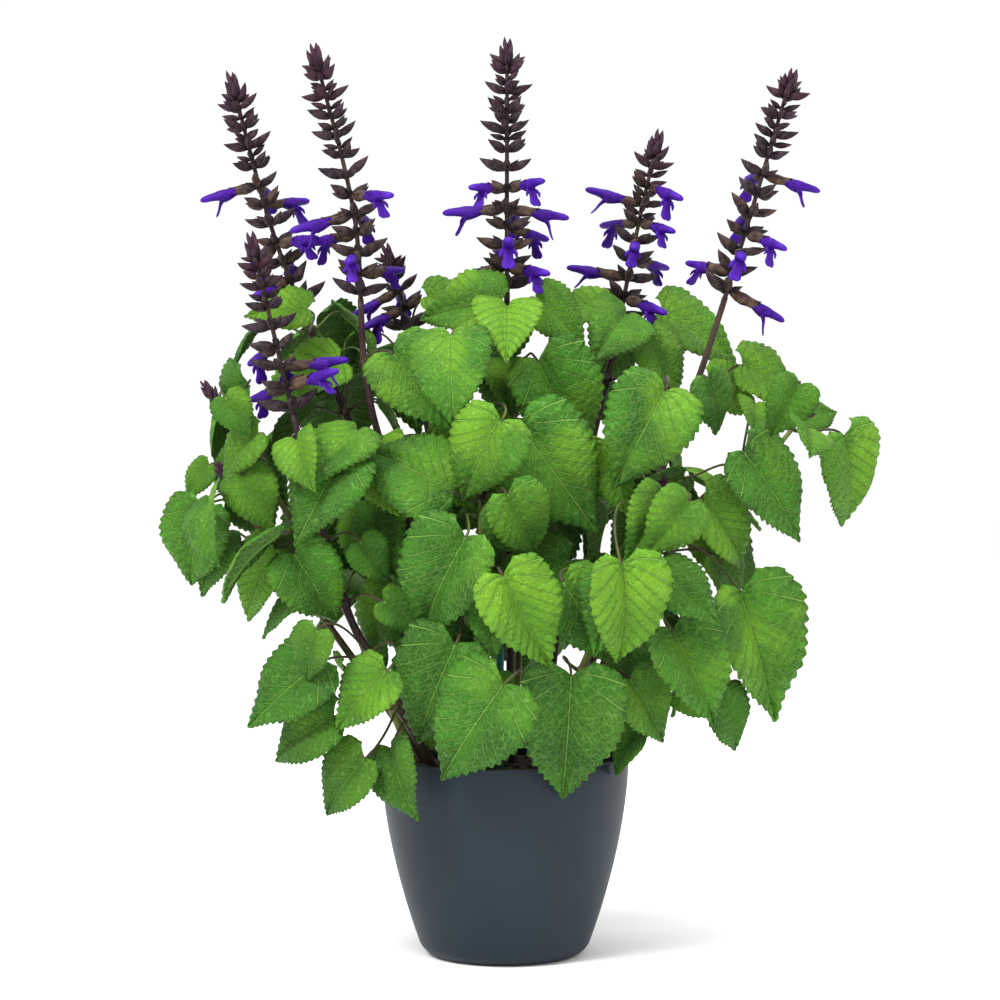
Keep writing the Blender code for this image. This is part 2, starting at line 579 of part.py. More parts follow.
def grow_leaves():
    """Every leaf that finds room, as {node: {hand: leaf}}; one that finds none is left out."""
    solids, stems, joints = standing_solids()
    placed = []
    grown = {}
    for turn, name, hand, stem, leaf in plan_leaves():
        for trial in leaf.search(random.Random(name + str(hand))):
            # Near what carries it only the outer part of a leaf keeps its room: the rest meets the joint.
            whole = Solid(*leaf_shell(trial, True, LEAF_ROOM))
            outer = Solid(*leaf_shell(trial, False, LEAF_ROOM))
            if any(whole.meets(solid) for solid in solids):
                continue
            if any((outer if key == name else whole).meets(solid) for key, solid in joints.items()):
                continue
            if any((outer if key == stem else whole).meets(solid) for key, solid in stems.items()):
                continue
            if any(other[1].meets(whole) for other in placed if other[0] != name):
                continue
            bare = Solid(*leaf_shell(trial, True))
            if any(outer.meets(other[2]) or bare.meets(other[3]) for other in placed if other[0] == name):
                continue
            if whole.crosses_itself() or bare.crosses_itself():
                continue
            grown.setdefault(name, {})[hand] = trial
            placed.append((name, whole, outer, bare))
            break
    return grown


# ---------------------------------------------------------------- building the solids

def material(name, colour, roughness):
    finish = bpy.data.materials.new(name)
    finish.use_nodes = True
    shader = finish.node_tree.nodes["Principled BSDF"]
    shader.inputs["Base Color"].default_value = (*colour, 1)
    shader.inputs["Roughness"].default_value = roughness
    shader.inputs["Metallic"].default_value = 0
    return finish


def add_object(name, mesh_data, finish):
    """An object from a bmesh, its faces turned outwards."""
    bmesh.ops.recalc_face_normals(mesh_data, faces=mesh_data.faces)
    if mesh_data.calc_volume(signed=True) < 0:
        bmesh.ops.reverse_faces(mesh_data, faces=mesh_data.faces)
    mesh = bpy.data.meshes.new(name)
    mesh_data.to_mesh(mesh)
    mesh_data.free()
    mesh.materials.append(finish)
    thing = bpy.data.objects.new(name, mesh)
    bpy.context.collection.objects.link(thing)
    return thing


def from_lists(points, faces):
    mesh_data = bmesh.new()
    corners = [mesh_data.verts.new(p) for p in points]
    for face in faces:
        mesh_data.faces.new([corners[i] for i in face])
    return mesh_data


def square(mesh_data, middle, side, other, half):
    """Four new corners of a square ring."""
    return [mesh_data.verts.new(middle + side * half * a + other * half * b)
            for a, b in ((-1, -1), (1, -1), (1, 1), (-1, 1))]


def bridge(mesh_data, low, high, leave_out=()):
    """Side faces between two rings of four, apart from those left out."""
    for i in range(4):
        if i not in leave_out:
            j = (i + 1) % 4
            mesh_data.faces.new((low[i], low[j], high[j], high[i]))


def attach_leaf(mesh_data, root, leaf):
    """Joins a leaf's shell to a ring of four corners on the stem or the joint."""
    points, faces = leaf_shell(leaf)
    corners = [mesh_data.verts.new(p) for p in points]
    for face in faces:
        mesh_data.faces.new([corners[i] for i in face])
    order = best_order(points[:4], [corner.co for corner in root])
    bridge(mesh_data, root, [corners[i] for i in order])


def leaves_by_face(side, other, leaves):
    """Which of a square ring's four faces each leaf grows from."""
    outer_faces = [-other, side, other, -side]
    return {max(range(4), key=lambda i: outer_faces[i].dot(leaf.root[1])): leaf for leaf in leaves.values()}


def bridge_with_leaves(mesh_data, low, high, used):
    """The side faces between two rings, with a leaf growing out of each face that carries one."""
    bridge(mesh_data, low, high, leave_out=used)
    for i, leaf in used.items():
        j = (i + 1) % 4
        attach_leaf(mesh_data, [low[i], low[j], high[j], high[i]], leaf)


def build_leaf_pair(name, stem, height, leaves, finish):
    """The joint round the stem, with the leaves on its sides."""
    middle, along, side, other, half = stem_frame(stem, height)
    mesh_data = bmesh.new()
    rings = {}
    for radius_name, radius in (("inner", half + FIT_GAP), ("outer", half + FIT_GAP + JOINT_WALL)):
        for end in (-1, 1):
            level = middle + along * end * JOINT_HEIGHT / 2
            rings[radius_name, end] = square(mesh_data, level, side, other, radius)
    bridge_with_leaves(mesh_data, rings["outer", -1], rings["outer", 1], leaves_by_face(side, other, leaves))
    bridge(mesh_data, rings["inner", -1], rings["inner", 1])
    for end in (-1, 1):
        bridge(mesh_data, rings["inner", end], rings["outer", end])
    return add_object(name, mesh_data, finish)


def stem_heights(stem):
    """Plan heights of a stem's plain rings and of its leaf joints, bottom to top."""
    joints = sorted(height for _, owner, height, _, _ in LEAF_PAIRS if owner == stem)
    spike = [start for owner, start, _ in SPIKES.values() if owner == stem]
    top = spike[0] - 6 if spike else STEMS[stem][-1][2]
    plain = []
    steps = max(3, round((top - PLAN_SOIL) / 48))
    for k in range(1, steps):
        height = PLAN_SOIL + (top - PLAN_SOIL) * k / steps
        if all((on_stem(stem, height) - on_stem(stem, j)).length > 0.018 for j in joints):
            plain.append(height)
    return plain, joints, top


def build_stem(stem, leaves, finish):
    """A square stem, straight where it is planted and where a leaf joint holds it."""
    plain, joints, top = stem_heights(stem)
    foot = on_stem(stem, PLAN_SOIL)
    half = STEM_THICKNESS / 2
    stops = [(foot - UP * (PLANTING_DEPTH - 0.001), Vector((1, 0, 0)), Vector((0, 1, 0)), half),
             (foot + UP * (SOIL_MOUND + 0.003), Vector((1, 0, 0)), Vector((0, 1, 0)), half)]
    heights = sorted([(h, False) for h in plain] + [(h, True) for h in joints])
    heights = [item for item in heights if place(0, 0, item[0]).z > stops[1][0].z + 0.008]
    for height, is_joint in heights:
        middle, along, side, other, here = stem_frame(stem, height)
        for offset in ((-NODE_HALF, NODE_HALF) if is_joint else (0.0,)):
            stops.append((middle + along * offset, side, other, here))
    middle, along, side, other, here = stem_frame(stem, top)
    leafy = None
    if stem in SHOOT_TOPS:
        leafy = len(stops)
        stops.append((middle - along * NODE_HALF, side, other, here))
        stops.append((middle + along * NODE_HALF, side, other, here))
        bud = middle + along * (NODE_HALF + SHOOT_BUD_STALK)
        stops.append((bud, side, other, here * 0.8))
        stops.append((bud + along * SHOOT_BUD_LENGTH * 0.4, side, other, SHOOT_BUD_WIDTH / 2))
        stops.append((bud + along * SHOOT_BUD_LENGTH, side, other, SHOOT_BUD_WIDTH / 8))
    else:
        stops.append((middle, side, other, here))
    mesh_data = bmesh.new()
    rings = [square(mesh_data, *stop) for stop in stops]
    mesh_data.faces.new(rings[0][::-1])
    mesh_data.faces.new(rings[-1])
    for k, (low, high) in enumerate(zip(rings, rings[1:])):
        used = leaves_by_face(side, other, leaves) if k == leafy else {}
        bridge_with_leaves(mesh_data, low, high, used)
    return add_object(stem, mesh_data, finish)


def add_calyx(mesh_data, root, out, along, length, is_open, petals):
    """A calyx from a face of the spike; an open one carries a flower with an upper and a lower lip."""
    start = sum((v.co for v in root), Vector()) / 4
    aim = flower_aim(out, along, is_open)
    if is_open:
        length *= OPEN_CALYX_SHARE
    half_width = length * CALYX_WIDTH_SHARE / 2
    side = along.cross(out).normalized()
    lift = side.cross(aim).normalized()
    if lift.dot(along) < 0:
        lift = -lift

    def ring(distance, wide, tall):
        middle = start + aim * distance
        corners = [middle + side * wide * a + lift * tall * b
                   for a, b in ((-1, -1), (1, -1), (1, 1), (-1, 1))]
        order = [min(range(4), key=lambda k: (root[i].co - start - (corners[k] - middle) * 0.5).length)
                 for i in range(4)]
        return [mesh_data.verts.new(corners[k]) for k in order], order

    belly, _ = ring(length * 0.5, half_width, half_width)
    bridge(mesh_data, root, belly)
    if not is_open:
        tip = mesh_data.verts.new(start + aim * length)
        for i in range(4):
            mesh_data.faces.new((belly[i], belly[(i + 1) % 4], tip))
        return
    mouth, order = ring(length, half_width * 0.8, half_width * 0.9)
    bridge(mesh_data, belly, mouth)
    by_corner = {corner: mouth[i] for i, corner in enumerate(order)}
    low_left, low_right, up_right, up_left = (by_corner[k] for k in range(4))
    throat = start + aim * (length + petals * 0.42)
    wide, tall = petals * 0.12, petals * 0.13

    def corner(sideways, upwards):
        return mesh_data.verts.new(throat + side * sideways * wide + lift * upwards * tall)

    tul, tur, tmr, tbr, tbl, tml = (corner(a, b) for a, b in ((-1, 1), (1, 1), (1, 0),
                                                              (1, -1), (-1, -1), (-1, 0)))
    for face in ((up_left, up_right, tur, tul), (low_left, low_right, tbr, tbl),
                 (up_right, low_right, tbr, tmr, tur), (up_left, low_left, tbl, tml, tul)):
        mesh_data.faces.new(face)
    hood = throat + aim * petals * 0.50 + lift * petals * 0.24
    lip = throat + aim * petals * 0.42 - lift * petals * 0.40
    for (a, b, c, d), end, spread in (((tul, tur, tmr, tml), hood, 0.10), ((tml, tmr, tbr, tbl), lip, 0.24)):
        left = mesh_data.verts.new(end - side * petals * spread)
        right = mesh_data.verts.new(end + side * petals * spread)
        for face in ((a, b, right, left), (d, c, right, left), (a, left, d), (b, c, right)):
            mesh_data.faces.new(face)


def build_spike(spike, finish):
    """The square top of a stem, with rings of calyces and its open flowers."""
    stem = SPIKES[spike][0]
    whorls = spike_whorls(spike)
    flowers = open_flowers(spike)
    mesh_data = bmesh.new()
    low_middle, _, side, other, half = stem_frame(stem, SPIKES[spike][1] - 6)
    low_middle = low_middle + (on_stem(stem, SPIKES[spike][1]) - low_middle).normalized() * FIT_GAP
    last = square(mesh_data, low_middle, side, other, half)
    mesh_data.faces.new(last[::-1])
    for number, (height, share) in enumerate(whorls):
        middle, along, outs, half = whorl_faces(spike, number)
        size = ring_size(share)
        rise = 0.0028 * size
        rings = [square(mesh_data, middle + along * end * rise, outs[0], outs[1], half) for end in (-1, 1)]
        best = min(range(4), key=lambda k: sum((last[i].co - rings[0][(i + k) % 4].co).length
                                               for i in range(4)))
        bridge(mesh_data, last, rings[0][best:] + rings[0][:best])
        face_outs = [-outs[1], outs[0], outs[1], -outs[0]]
        for i, out in enumerate(face_outs):
            j = (i + 1) % 4
            is_open = any(number == ring and outs[face].dot(out) > 0.9 for ring, face in flowers)
            root = [rings[0][i], rings[0][j], rings[1][j], rings[1][i]]
            add_calyx(mesh_data, root, out, along, CALYX_LENGTH * size, is_open, PETAL_LENGTH)
        last = rings[1]
    tip = mesh_data.verts.new(on_stem(stem, STEMS[stem][-1][2]))
    for i in range(4):
        mesh_data.faces.new((last[i], last[(i + 1) % 4], tip))
    return add_object(spike, mesh_data, finish)


def build_soil(finish):
    """The potting mix, with a pocket for each stem and for the stake."""
    top = SOIL_TOP
    gap = 2 * FIT_GAP
    profile = [(max(r - gap, 0), h + gap) for r, h in inside_profile() if h < top - 0.006]
    profile += [(pot_radius(top - 0.003) - POT_WALL - 2 * gap, top - 0.003)]
    profile += [(pot_radius(top) - POT_WALL - 0.004, top), (0, top + SOIL_MOUND)]
    soil = add_object("soil", from_lists(*turned(profile)), finish)
    pockets = [(on_stem(stem, PLAN_SOIL), STEM_THICKNESS / 2 + FIT_GAP) for stem in STEMS]
    pockets.append((place(*STAKE_FOOT), STAKE_THICKNESS / 2 + FIT_GAP))
    cutter_data = bmesh.new()
    for foot, half in pockets:
        ends = []
        for height in (top - PLANTING_DEPTH, top + SOIL_MOUND + 0.01):
            middle = Vector((foot.x, foot.y, height))
            ends.append(square(cutter_data, middle, Vector((1, 0, 0)), Vector((0, 1, 0)), half))
        bridge(cutter_data, *ends)
        cutter_data.faces.new(ends[0][::-1])
        cutter_data.faces.new(ends[1])
    cutter = add_object("pocket_cutter", cutter_data, finish)
    cutter.hide_render = True
    cutter.display_type = "WIRE"
    cut = soil.modifiers.new("pockets", "BOOLEAN")
    cut.operation = "DIFFERENCE"
    cut.solver = "EXACT"
    cut.object = cutter
    return soil


def build_stake(finish):
    """A plain rod with a blunt top, standing in its pocket."""
    foot = place(*STAKE_FOOT)
    mesh_data = bmesh.new()
    bmesh.ops.create_cone(mesh_data, cap_ends=True, segments=12, radius1=STAKE_THICKNESS / 2,
                          radius2=STAKE_THICKNESS / 2, depth=STAKE_HEIGHT + PLANTING_DEPTH - 0.001)
    middle = foot + UP * (STAKE_HEIGHT - PLANTING_DEPTH + 0.001) / 2
    bmesh.ops.translate(mesh_data, vec=middle, verts=mesh_data.verts)
    return add_object("stake", mesh_data, finish)


def main():
    for thing in list(bpy.data.objects):
        bpy.data.objects.remove(thing, do_unlink=True)
    grown = grow_leaves()
    add_object("pot", from_lists(*turned(pot_profile())), material("pot", (0.045, 0.062, 0.077), 0.6))
    build_soil(material("soil", (0.035, 0.025, 0.018), 0.95))
    build_stake(material("stake", (0.02, 0.09, 0.07), 0.5))
    for stem in STEMS:
        build_stem(stem, grown.get(stem, {}), material(stem, (0.06, 0.035, 0.04), 0.6))
    for spike in SPIKES:
        build_spike(spike, material(spike, (0.10, 0.03, 0.35), 0.6))
    for name, stem, height, _, _ in LEAF_PAIRS:
        build_leaf_pair("leaves_" + name, stem, height, grown.get("leaves_" + name, {}),
                        material("leaves_" + name, (0.07, 0.25, 0.03), 0.55))


main()
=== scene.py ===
"""The looks of a flowering sage in a round plastic pot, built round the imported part.

The first half repeats the part's growth plan, so that every stem, leaf and flower lies where its solid does.
The second half makes the fine surfaces: blades with quilted veins and cut rims, ribbed calyces, two-lipped
flowers, square stems, the turned pot and its crumbly soil.
"""
import math
import random

import bmesh
import bpy
import numpy as np
from mathutils import Matrix, Vector, noise
from mathutils.bvhtree import BVHTree


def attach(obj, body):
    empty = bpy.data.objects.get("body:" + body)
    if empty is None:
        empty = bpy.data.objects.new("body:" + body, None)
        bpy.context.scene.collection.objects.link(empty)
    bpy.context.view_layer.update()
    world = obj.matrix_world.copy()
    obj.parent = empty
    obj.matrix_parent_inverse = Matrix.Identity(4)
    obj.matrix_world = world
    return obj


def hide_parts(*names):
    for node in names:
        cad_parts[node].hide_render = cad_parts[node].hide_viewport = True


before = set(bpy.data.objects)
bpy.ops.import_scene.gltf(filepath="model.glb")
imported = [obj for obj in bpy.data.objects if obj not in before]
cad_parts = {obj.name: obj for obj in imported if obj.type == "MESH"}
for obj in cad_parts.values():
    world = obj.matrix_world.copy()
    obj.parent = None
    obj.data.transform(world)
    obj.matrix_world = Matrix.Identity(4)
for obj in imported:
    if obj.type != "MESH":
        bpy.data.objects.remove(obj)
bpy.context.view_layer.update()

# ---------------------------------------------------------------- driving sizes (metres)
PLANT_TOP = 0.765            # top of the middle spike's growth plan
PLANT_WIDTH = 0.65           # over the outermost leaves
POT_HEIGHT = 0.168
POT_RADIUS = 0.1055          # outside, at the lip
POT_FOOT_RADIUS = 0.0685     # outside, at the foot, before the corner is rounded
POT_WALL = 0.0025
POT_CORNER = 0.011
SOIL_DROP = 0.012            # from the lip down to the soil
SOIL_MOUND = 0.004           # how much higher the soil is in the middle
STEM_THICKNESS = 0.0070      # at the soil
STEM_TIP_THICKNESS = 0.0036
STAKE_THICKNESS = 0.007
STAKE_HEIGHT = 0.13          # above the soil
LEAF_LENGTH = 0.105          # a full-grown blade
LEAF_WIDTH_SHARE = 0.87      # of the blade's length
LEAF_THICKNESS = 0.0012
LEAF_STALK = 0.0020
CALYX_LENGTH = 0.0175        # of a bud low on a spike
OPEN_CALYX_SHARE = 1.25      # how much longer the calyx of an open flower is
BUD_RISE = 0.65              # slope of a bud out of its spike
FLOWER_RISE = 0.18           # slope of an open flower
PETAL_LENGTH = 0.030
SHOOT_BUD_STALK = 0.010      # from a shoot's top leaves to the bud over them
SHOOT_BUD_LENGTH = 0.015
WHORL_PITCH = 0.0165         # between rings of flowers on a spike
FIT_GAP = 0.0003             # between pieces that touch
LEAF_ROOM = 0.0009           # kept free round each leaf
STEM_ROOM = 0.0010           # kept free round a stem, a shoot's bud and the stake
JOINT_ROOM = 0.0015          # kept free round a leaf joint
SPIKE_ROOM = 0.0150          # half width of the way kept free for a spike's buds
FLOWER_ROOM = 0.0125         # half width of the way kept free for an open flower
JOINT_HEIGHT = 0.0060        # of the joint that holds a leaf pair
JOINT_WALL = 0.0014
NODE_HALF = 0.0042           # half of the straight bit of stem in a leaf joint
SIDES = 36                   # of the turned pieces
DEPTH_STEP = 0.004           # how a leaf looks for room: tries nearer and farther by this step,
DEPTH_TRIES = 19             # so many of them,
TURN_TRIES = 420             # then so many turned and moved ones
MOST_MOVE = 0.034
MOST_TURN = 60               # degrees
MOST_SHRINK = 0.45

# ---------------------------------------------------------------- growth plan (plan millimetres)
PLAN_SOIL, PLAN_TOP, PLAN_WIDTH = 155, 765, 650

STEMS = {
    "stem_a": [(-30, 24, 155), (-60, 28, 230), (-105, 32, 380), (-160, 32, 512),
               (-200, 32, 615), (-234, 30, 740)],
    "stem_b": [(-56, -36, 155), (-104, -56, 241), (-129, -62, 290), (-154, -64, 370),
               (-178, -64, 469), (-208, -62, 593)],
    "stem_c": [(-24, -10, 155), (-46, -4, 266), (-90, -6, 385), (-117, -8, 483),
               (-127, -12, 623), (-159, -16, 757)],
    "stem_d": [(6, 14, 155), (4, 4, 300), (2, -5, 530), (2, -5, 763)],
    "stem_e": [(32, 46, 155), (55, 65, 330), (97, 80, 520), (119, 82, 630), (134, 82, 696)],
    "stem_f": [(46, 4, 155), (106, 6, 342), (136, 4, 415), (166, 0, 491), (200, 0, 597), (242, 0, 738)],
    "stem_g": [(-10, 52, 155), (-45, 76, 330), (-75, 88, 480), (-88, 88, 550), (-102, 84, 596)],
    "shoot_h": [(66, -26, 155), (108, -36, 270), (163, -34, 385), (213, -25, 412), (243, -18, 445)],
    "shoot_k": [(-74, -10, 155), (-122, -28, 270), (-180, -34, 370), (-212, -28, 418), (-238, -20, 458)],
    "shoot_l": [(-66, 26, 155), (-130, 0, 250), (-196, -24, 345), (-224, -30, 388)],
    "shoot_m": [(34, -50, 155), (62, -68, 240), (92, -78, 320), (118, -80, 375)],
    "shoot_n": [(-14, -48, 155), (-14, -66, 230), (-18, -78, 300), (-20, -84, 372)],
    "shoot_p": [(-42, 60, 155), (-82, 92, 260), (-122, 120, 372)],
    "shoot_q": [(56, 52, 155), (96, 92, 260), (138, 118, 362)],
    "shoot_r": [(8, 76, 155), (14, 112, 270), (20, 132, 392)],
}

# Spikes: the stem they top, where their first ring is, and their open flowers as (height, bearing).
# Bearings are in degrees from +X towards +Y, so 270 faces the front.
SPIKES = {
    "spike_a": ("stem_a", 556, [(655, 180), (659, 90), (611, 180), (601, 300), (571, 200),
                                (640, 40), (585, 80)]),
    "spike_b": ("stem_b", 462, [(489, 0), (471, 180), (474, 300), (514, 180), (500, 90)]),
    "spike_c": ("stem_c", 560, [(633, 190), (637, 350), (614, 170), (589, 270), (620, 80), (575, 20)]),
    "spike_d": ("stem_d", 566, [(656, 0), (633, 350), (612, 10), (630, 180), (648, 225), (596, 280),
                                (584, 180), (581, 350), (640, 90), (600, 90)]),
    "spike_e": ("stem_e", 545, [(655, 0), (640, 190), (620, 350), (611, 270), (600, 10), (582, 180),
                                (569, 340), (625, 90), (590, 80)]),
    "spike_f": ("stem_f", 562, [(653, 340), (653, 135), (608, 0), (600, 225), (570, 350),
                                (630, 90), (585, 110)]),
    "spike_g": ("stem_g", 536, [(566, 180), (549, 200), (575, 90)]),
}

# Leaf pairs: name, stem, height of the joint, then the two leaves.  A leaf is (where its blade starts,
# where its tip points, its length in mm), or only a bearing for one that grows straight out; a single
# leaf's partner grows out on the other side.
LEAF_PAIRS = [
    ("d1", "stem_d", 536, ((-6, -34, 548), (-69, -42, 560), 76), ((26, -34, 554), (70, -40, 524), 62)),
    ("d2", "stem_d", 500, ((28, -56, 500), (84, -74, 424), 102), ((-46, -66, 528), (-58, -100, 490), 82)),
    ("d3", "stem_d", 448, ((22, -94, 456), (94, -114, 378), 110), ((4, -104, 455), (-37, -124, 404), 78)),
    ("d4", "stem_d", 380, ((-44, -96, 394), (-108, -104, 441), 92), 60),
    ("c1", "stem_c", 500, ((-92, -56, 506), (-52, -82, 462), 84), 120),
    ("c2", "stem_c", 430, ((-112, -66, 452), (-150, -96, 440), 80), 330),
    ("c3", "stem_c", 310, 200, 20),
    ("a1", "stem_a", 530, ((-168, 6, 546), (-206, -4, 556), 56), 90),
    ("a2", "stem_a", 460, ((-142, -12, 500), (-186, -26, 488), 76), 100),
    ("a3", "stem_a", 370, 80, 260),
    ("b1", "stem_b", 432, ((-132, -92, 421), (-172, -126, 368), 84), 170),
    ("b2", "stem_b", 352, ((-171, -96, 341), (-138, -118, 292), 72),
     ((-192, -44, 342), (-240, -48, 298), 74)),
    ("b3", "stem_b", 300, 250, 70),
    ("b4", "stem_b", 258, ((-96, -124, 248), (-140, -132, 209), 64),
     ((-150, -96, 254), (-219, -104, 214), 84)),
    ("b5", "stem_b", 214, ((-114, -108, 176), (-166, -114, 137), 66), 60),
    ("e1", "stem_e", 530, ((140, 48, 546), (224, 44, 528), 88), ((84, 40, 550), (42, 34, 566), 60)),
    ("e2", "stem_e", 490, ((124, 34, 524), (150, 20, 486), 66), 110),
    ("e3", "stem_e", 400, 75, 255),
    ("f1", "stem_f", 466, ((130, -94, 474), (101, -128, 424), 92), ((206, 26, 500), (274, 26, 486), 78)),
    ("f2", "stem_f", 396, ((106, -104, 420), (124, -116, 347), 88), 80),
    ("f3", "stem_f", 320, 30, 200),
    ("g1", "stem_g", 512, ((-66, 44, 560), (-20, 34, 566), 58), 100),
    ("g2", "stem_g", 410, 130, 320),
    ("h1", "shoot_h", 404, ((199, -56, 424), (266, -62, 368), 94), ((222, -8, 474), (176, -24, 452), 64)),
    ("h2", "shoot_h", 352, ((195, -62, 308), (245, -70, 202), 116), ((160, -90, 394), (127, -100, 352), 66)),
    ("h3", "shoot_h", 262, ((178, -85, 224), (210, -88, 185), 58), 290),
    ("k1", "shoot_k", 408, ((-204, -50, 440), (-246, -58, 424), 56), 100),
    ("l1", "shoot_l", 346, ((-234, -16, 357), (-272, -24, 319), 64), 60),
    ("m1", "shoot_m", 318, ((136, -118, 280), (179, -144, 228), 86), ((47, -126, 320), (86, -148, 274), 76)),
    ("m2", "shoot_m", 244, ((53, -134, 245), (51, -148, 139), 108), ((101, -116, 241), (140, -124, 202), 66)),
    ("n1", "shoot_n", 292, ((-40, -130, 270), (-89, -142, 192), 98), ((-7, -134, 328), (48, -144, 252), 98)),
    ("n2", "shoot_n", 232, ((-2, -142, 240), (-64, -156, 172), 100),
     ((-78, -114, 204), (-55, -128, 130), 84)),
    ("p1", "shoot_p", 286, 190, 10),
    ("q1", "shoot_q", 280, 330, 150),
    ("r1", "shoot_r", 300, 30, 210),
]

# Small leaves in the angles of some pairs, from the two free faces of the joint or of the shoot's top.
# The other joints carry short ones that grow straight out, wherever there is room.
AXIL_LEAVES = {
    "leaves_b2": (((-118, -90, 351), (-89, -95, 318), 44),),
    "leaves_b4": (((-150, -128, 281), (-171, -136, 245), 48),),
    "leaves_b5": (((-140, -100, 209), (-206, -106, 192), 74),),
    "leaves_f1": (((169, -40, 487), (195, -45, 454), 56), ((174, 0, 494), (228, 0, 474), 66)),
    "leaves_f2": (((128, 20, 445), (165, 25, 415), 60),),
    "leaves_f3": (((178, -20, 337), (222, -25, 304), 58),),
    "leaves_h2": (((164, -50, 384), (219, -55, 342), 78), ((165, -30, 360), (212, -35, 333), 60)),
    "leaves_k1": (((-250, -40, 414), (-274, -50, 394), 38), ((-222, -40, 428), (-265, -45, 419), 48)),
    "leaves_m2": (((112, -112, 199), (62, -115, 172), 64), ((142, -100, 232), (178, -102, 221), 50)),
    "shoot_h": (((252, 10, 452), (282, 14, 468), 44),),
    "shoot_k": (((-230, -40, 470), (-212, -55, 444), 40),),
    "shoot_n": (((-20, -118, 407), (4, -122, 368), 48), ((-8, -112, 380), (20, -118, 345), 50)),
}

# The youngest pair at the top of each side shoot, which grows out of the shoot itself.
SHOOT_TOPS = {
    "shoot_h": (((289, 2, 438), (338, -4, 362), 92), ((244, -42, 480), (222, -62, 444), 54)),
    "shoot_k": (((-216, -14, 492), (-282, -20, 454), 84), 80),
    "shoot_l": (((-254, -22, 379), (-292, -30, 305), 84), ((-222, -62, 410), (-196, -88, 373), 60)),
    "shoot_m": (((117, -112, 318), (161, -122, 292), 66), ((92, -140, 336), (124, -156, 240), 100)),
    "shoot_n": (((-32, -150, 356), (-86, -164, 284), 98), ((8, -118, 400), (38, -126, 352), 70)),
    "shoot_p": (140, 320),
    "shoot_q": (20, 200),
    "shoot_r": (100, 280),
}

STAKE_FOOT = (-4, -22, 155)

UP = Vector((0, 0, 1))
FRONT = Vector((0, -1, 0))
SOIL_TOP = POT_HEIGHT - SOIL_DROP
WIDE = PLANT_WIDTH / PLAN_WIDTH
TALL = (PLANT_TOP - SOIL_TOP) / (PLAN_TOP - PLAN_SOIL)


def place(x, y, z):
    """A plan place in metres."""
    return Vector((x * WIDE, y * WIDE, SOIL_TOP + (z - PLAN_SOIL) * TALL))


def on_stem(stem, z):
    """The middle of a stem at a plan height, on a smooth curve through the stem's places."""
    knots = STEMS[stem]
    last = len(knots) - 1
    start = max([i for i in range(last) if knots[i][2] <= z], default=0)
    low, high = knots[start], knots[start + 1]
    span = high[2] - low[2]
    t = (z - low[2]) / span

    def slope(i, axis):
        a, b = knots[max(i - 1, 0)], knots[min(i + 1, last)]
        return (b[axis] - a[axis]) / (b[2] - a[2]) * span

    def across(axis):
        return ((2 * t ** 3 - 3 * t ** 2 + 1) * low[axis] + (t ** 3 - 2 * t ** 2 + t) * slope(start, axis)
                + (3 * t ** 2 - 2 * t ** 3) * high[axis] + (t ** 3 - t ** 2) * slope(start + 1, axis))

    return place(across(0), across(1), z)


def stem_frame(stem, z):
    """Middle, direction, the two side directions and the half thickness of a stem at a plan height."""
    middle = on_stem(stem, z)
    along = (on_stem(stem, z + 1) - on_stem(stem, z - 1)).normalized()
    side = (Vector((1, 0, 0)) - along * along.x).normalized()
    share = (z - PLAN_SOIL) / (STEMS[stem][-1][2] - PLAN_SOIL)
    half = (STEM_THICKNESS + (STEM_TIP_THICKNESS - STEM_THICKNESS) * min(max(share, 0), 1)) / 2
    return middle, along, side, along.cross(side), half


# ---------------------------------------------------------------- leaves

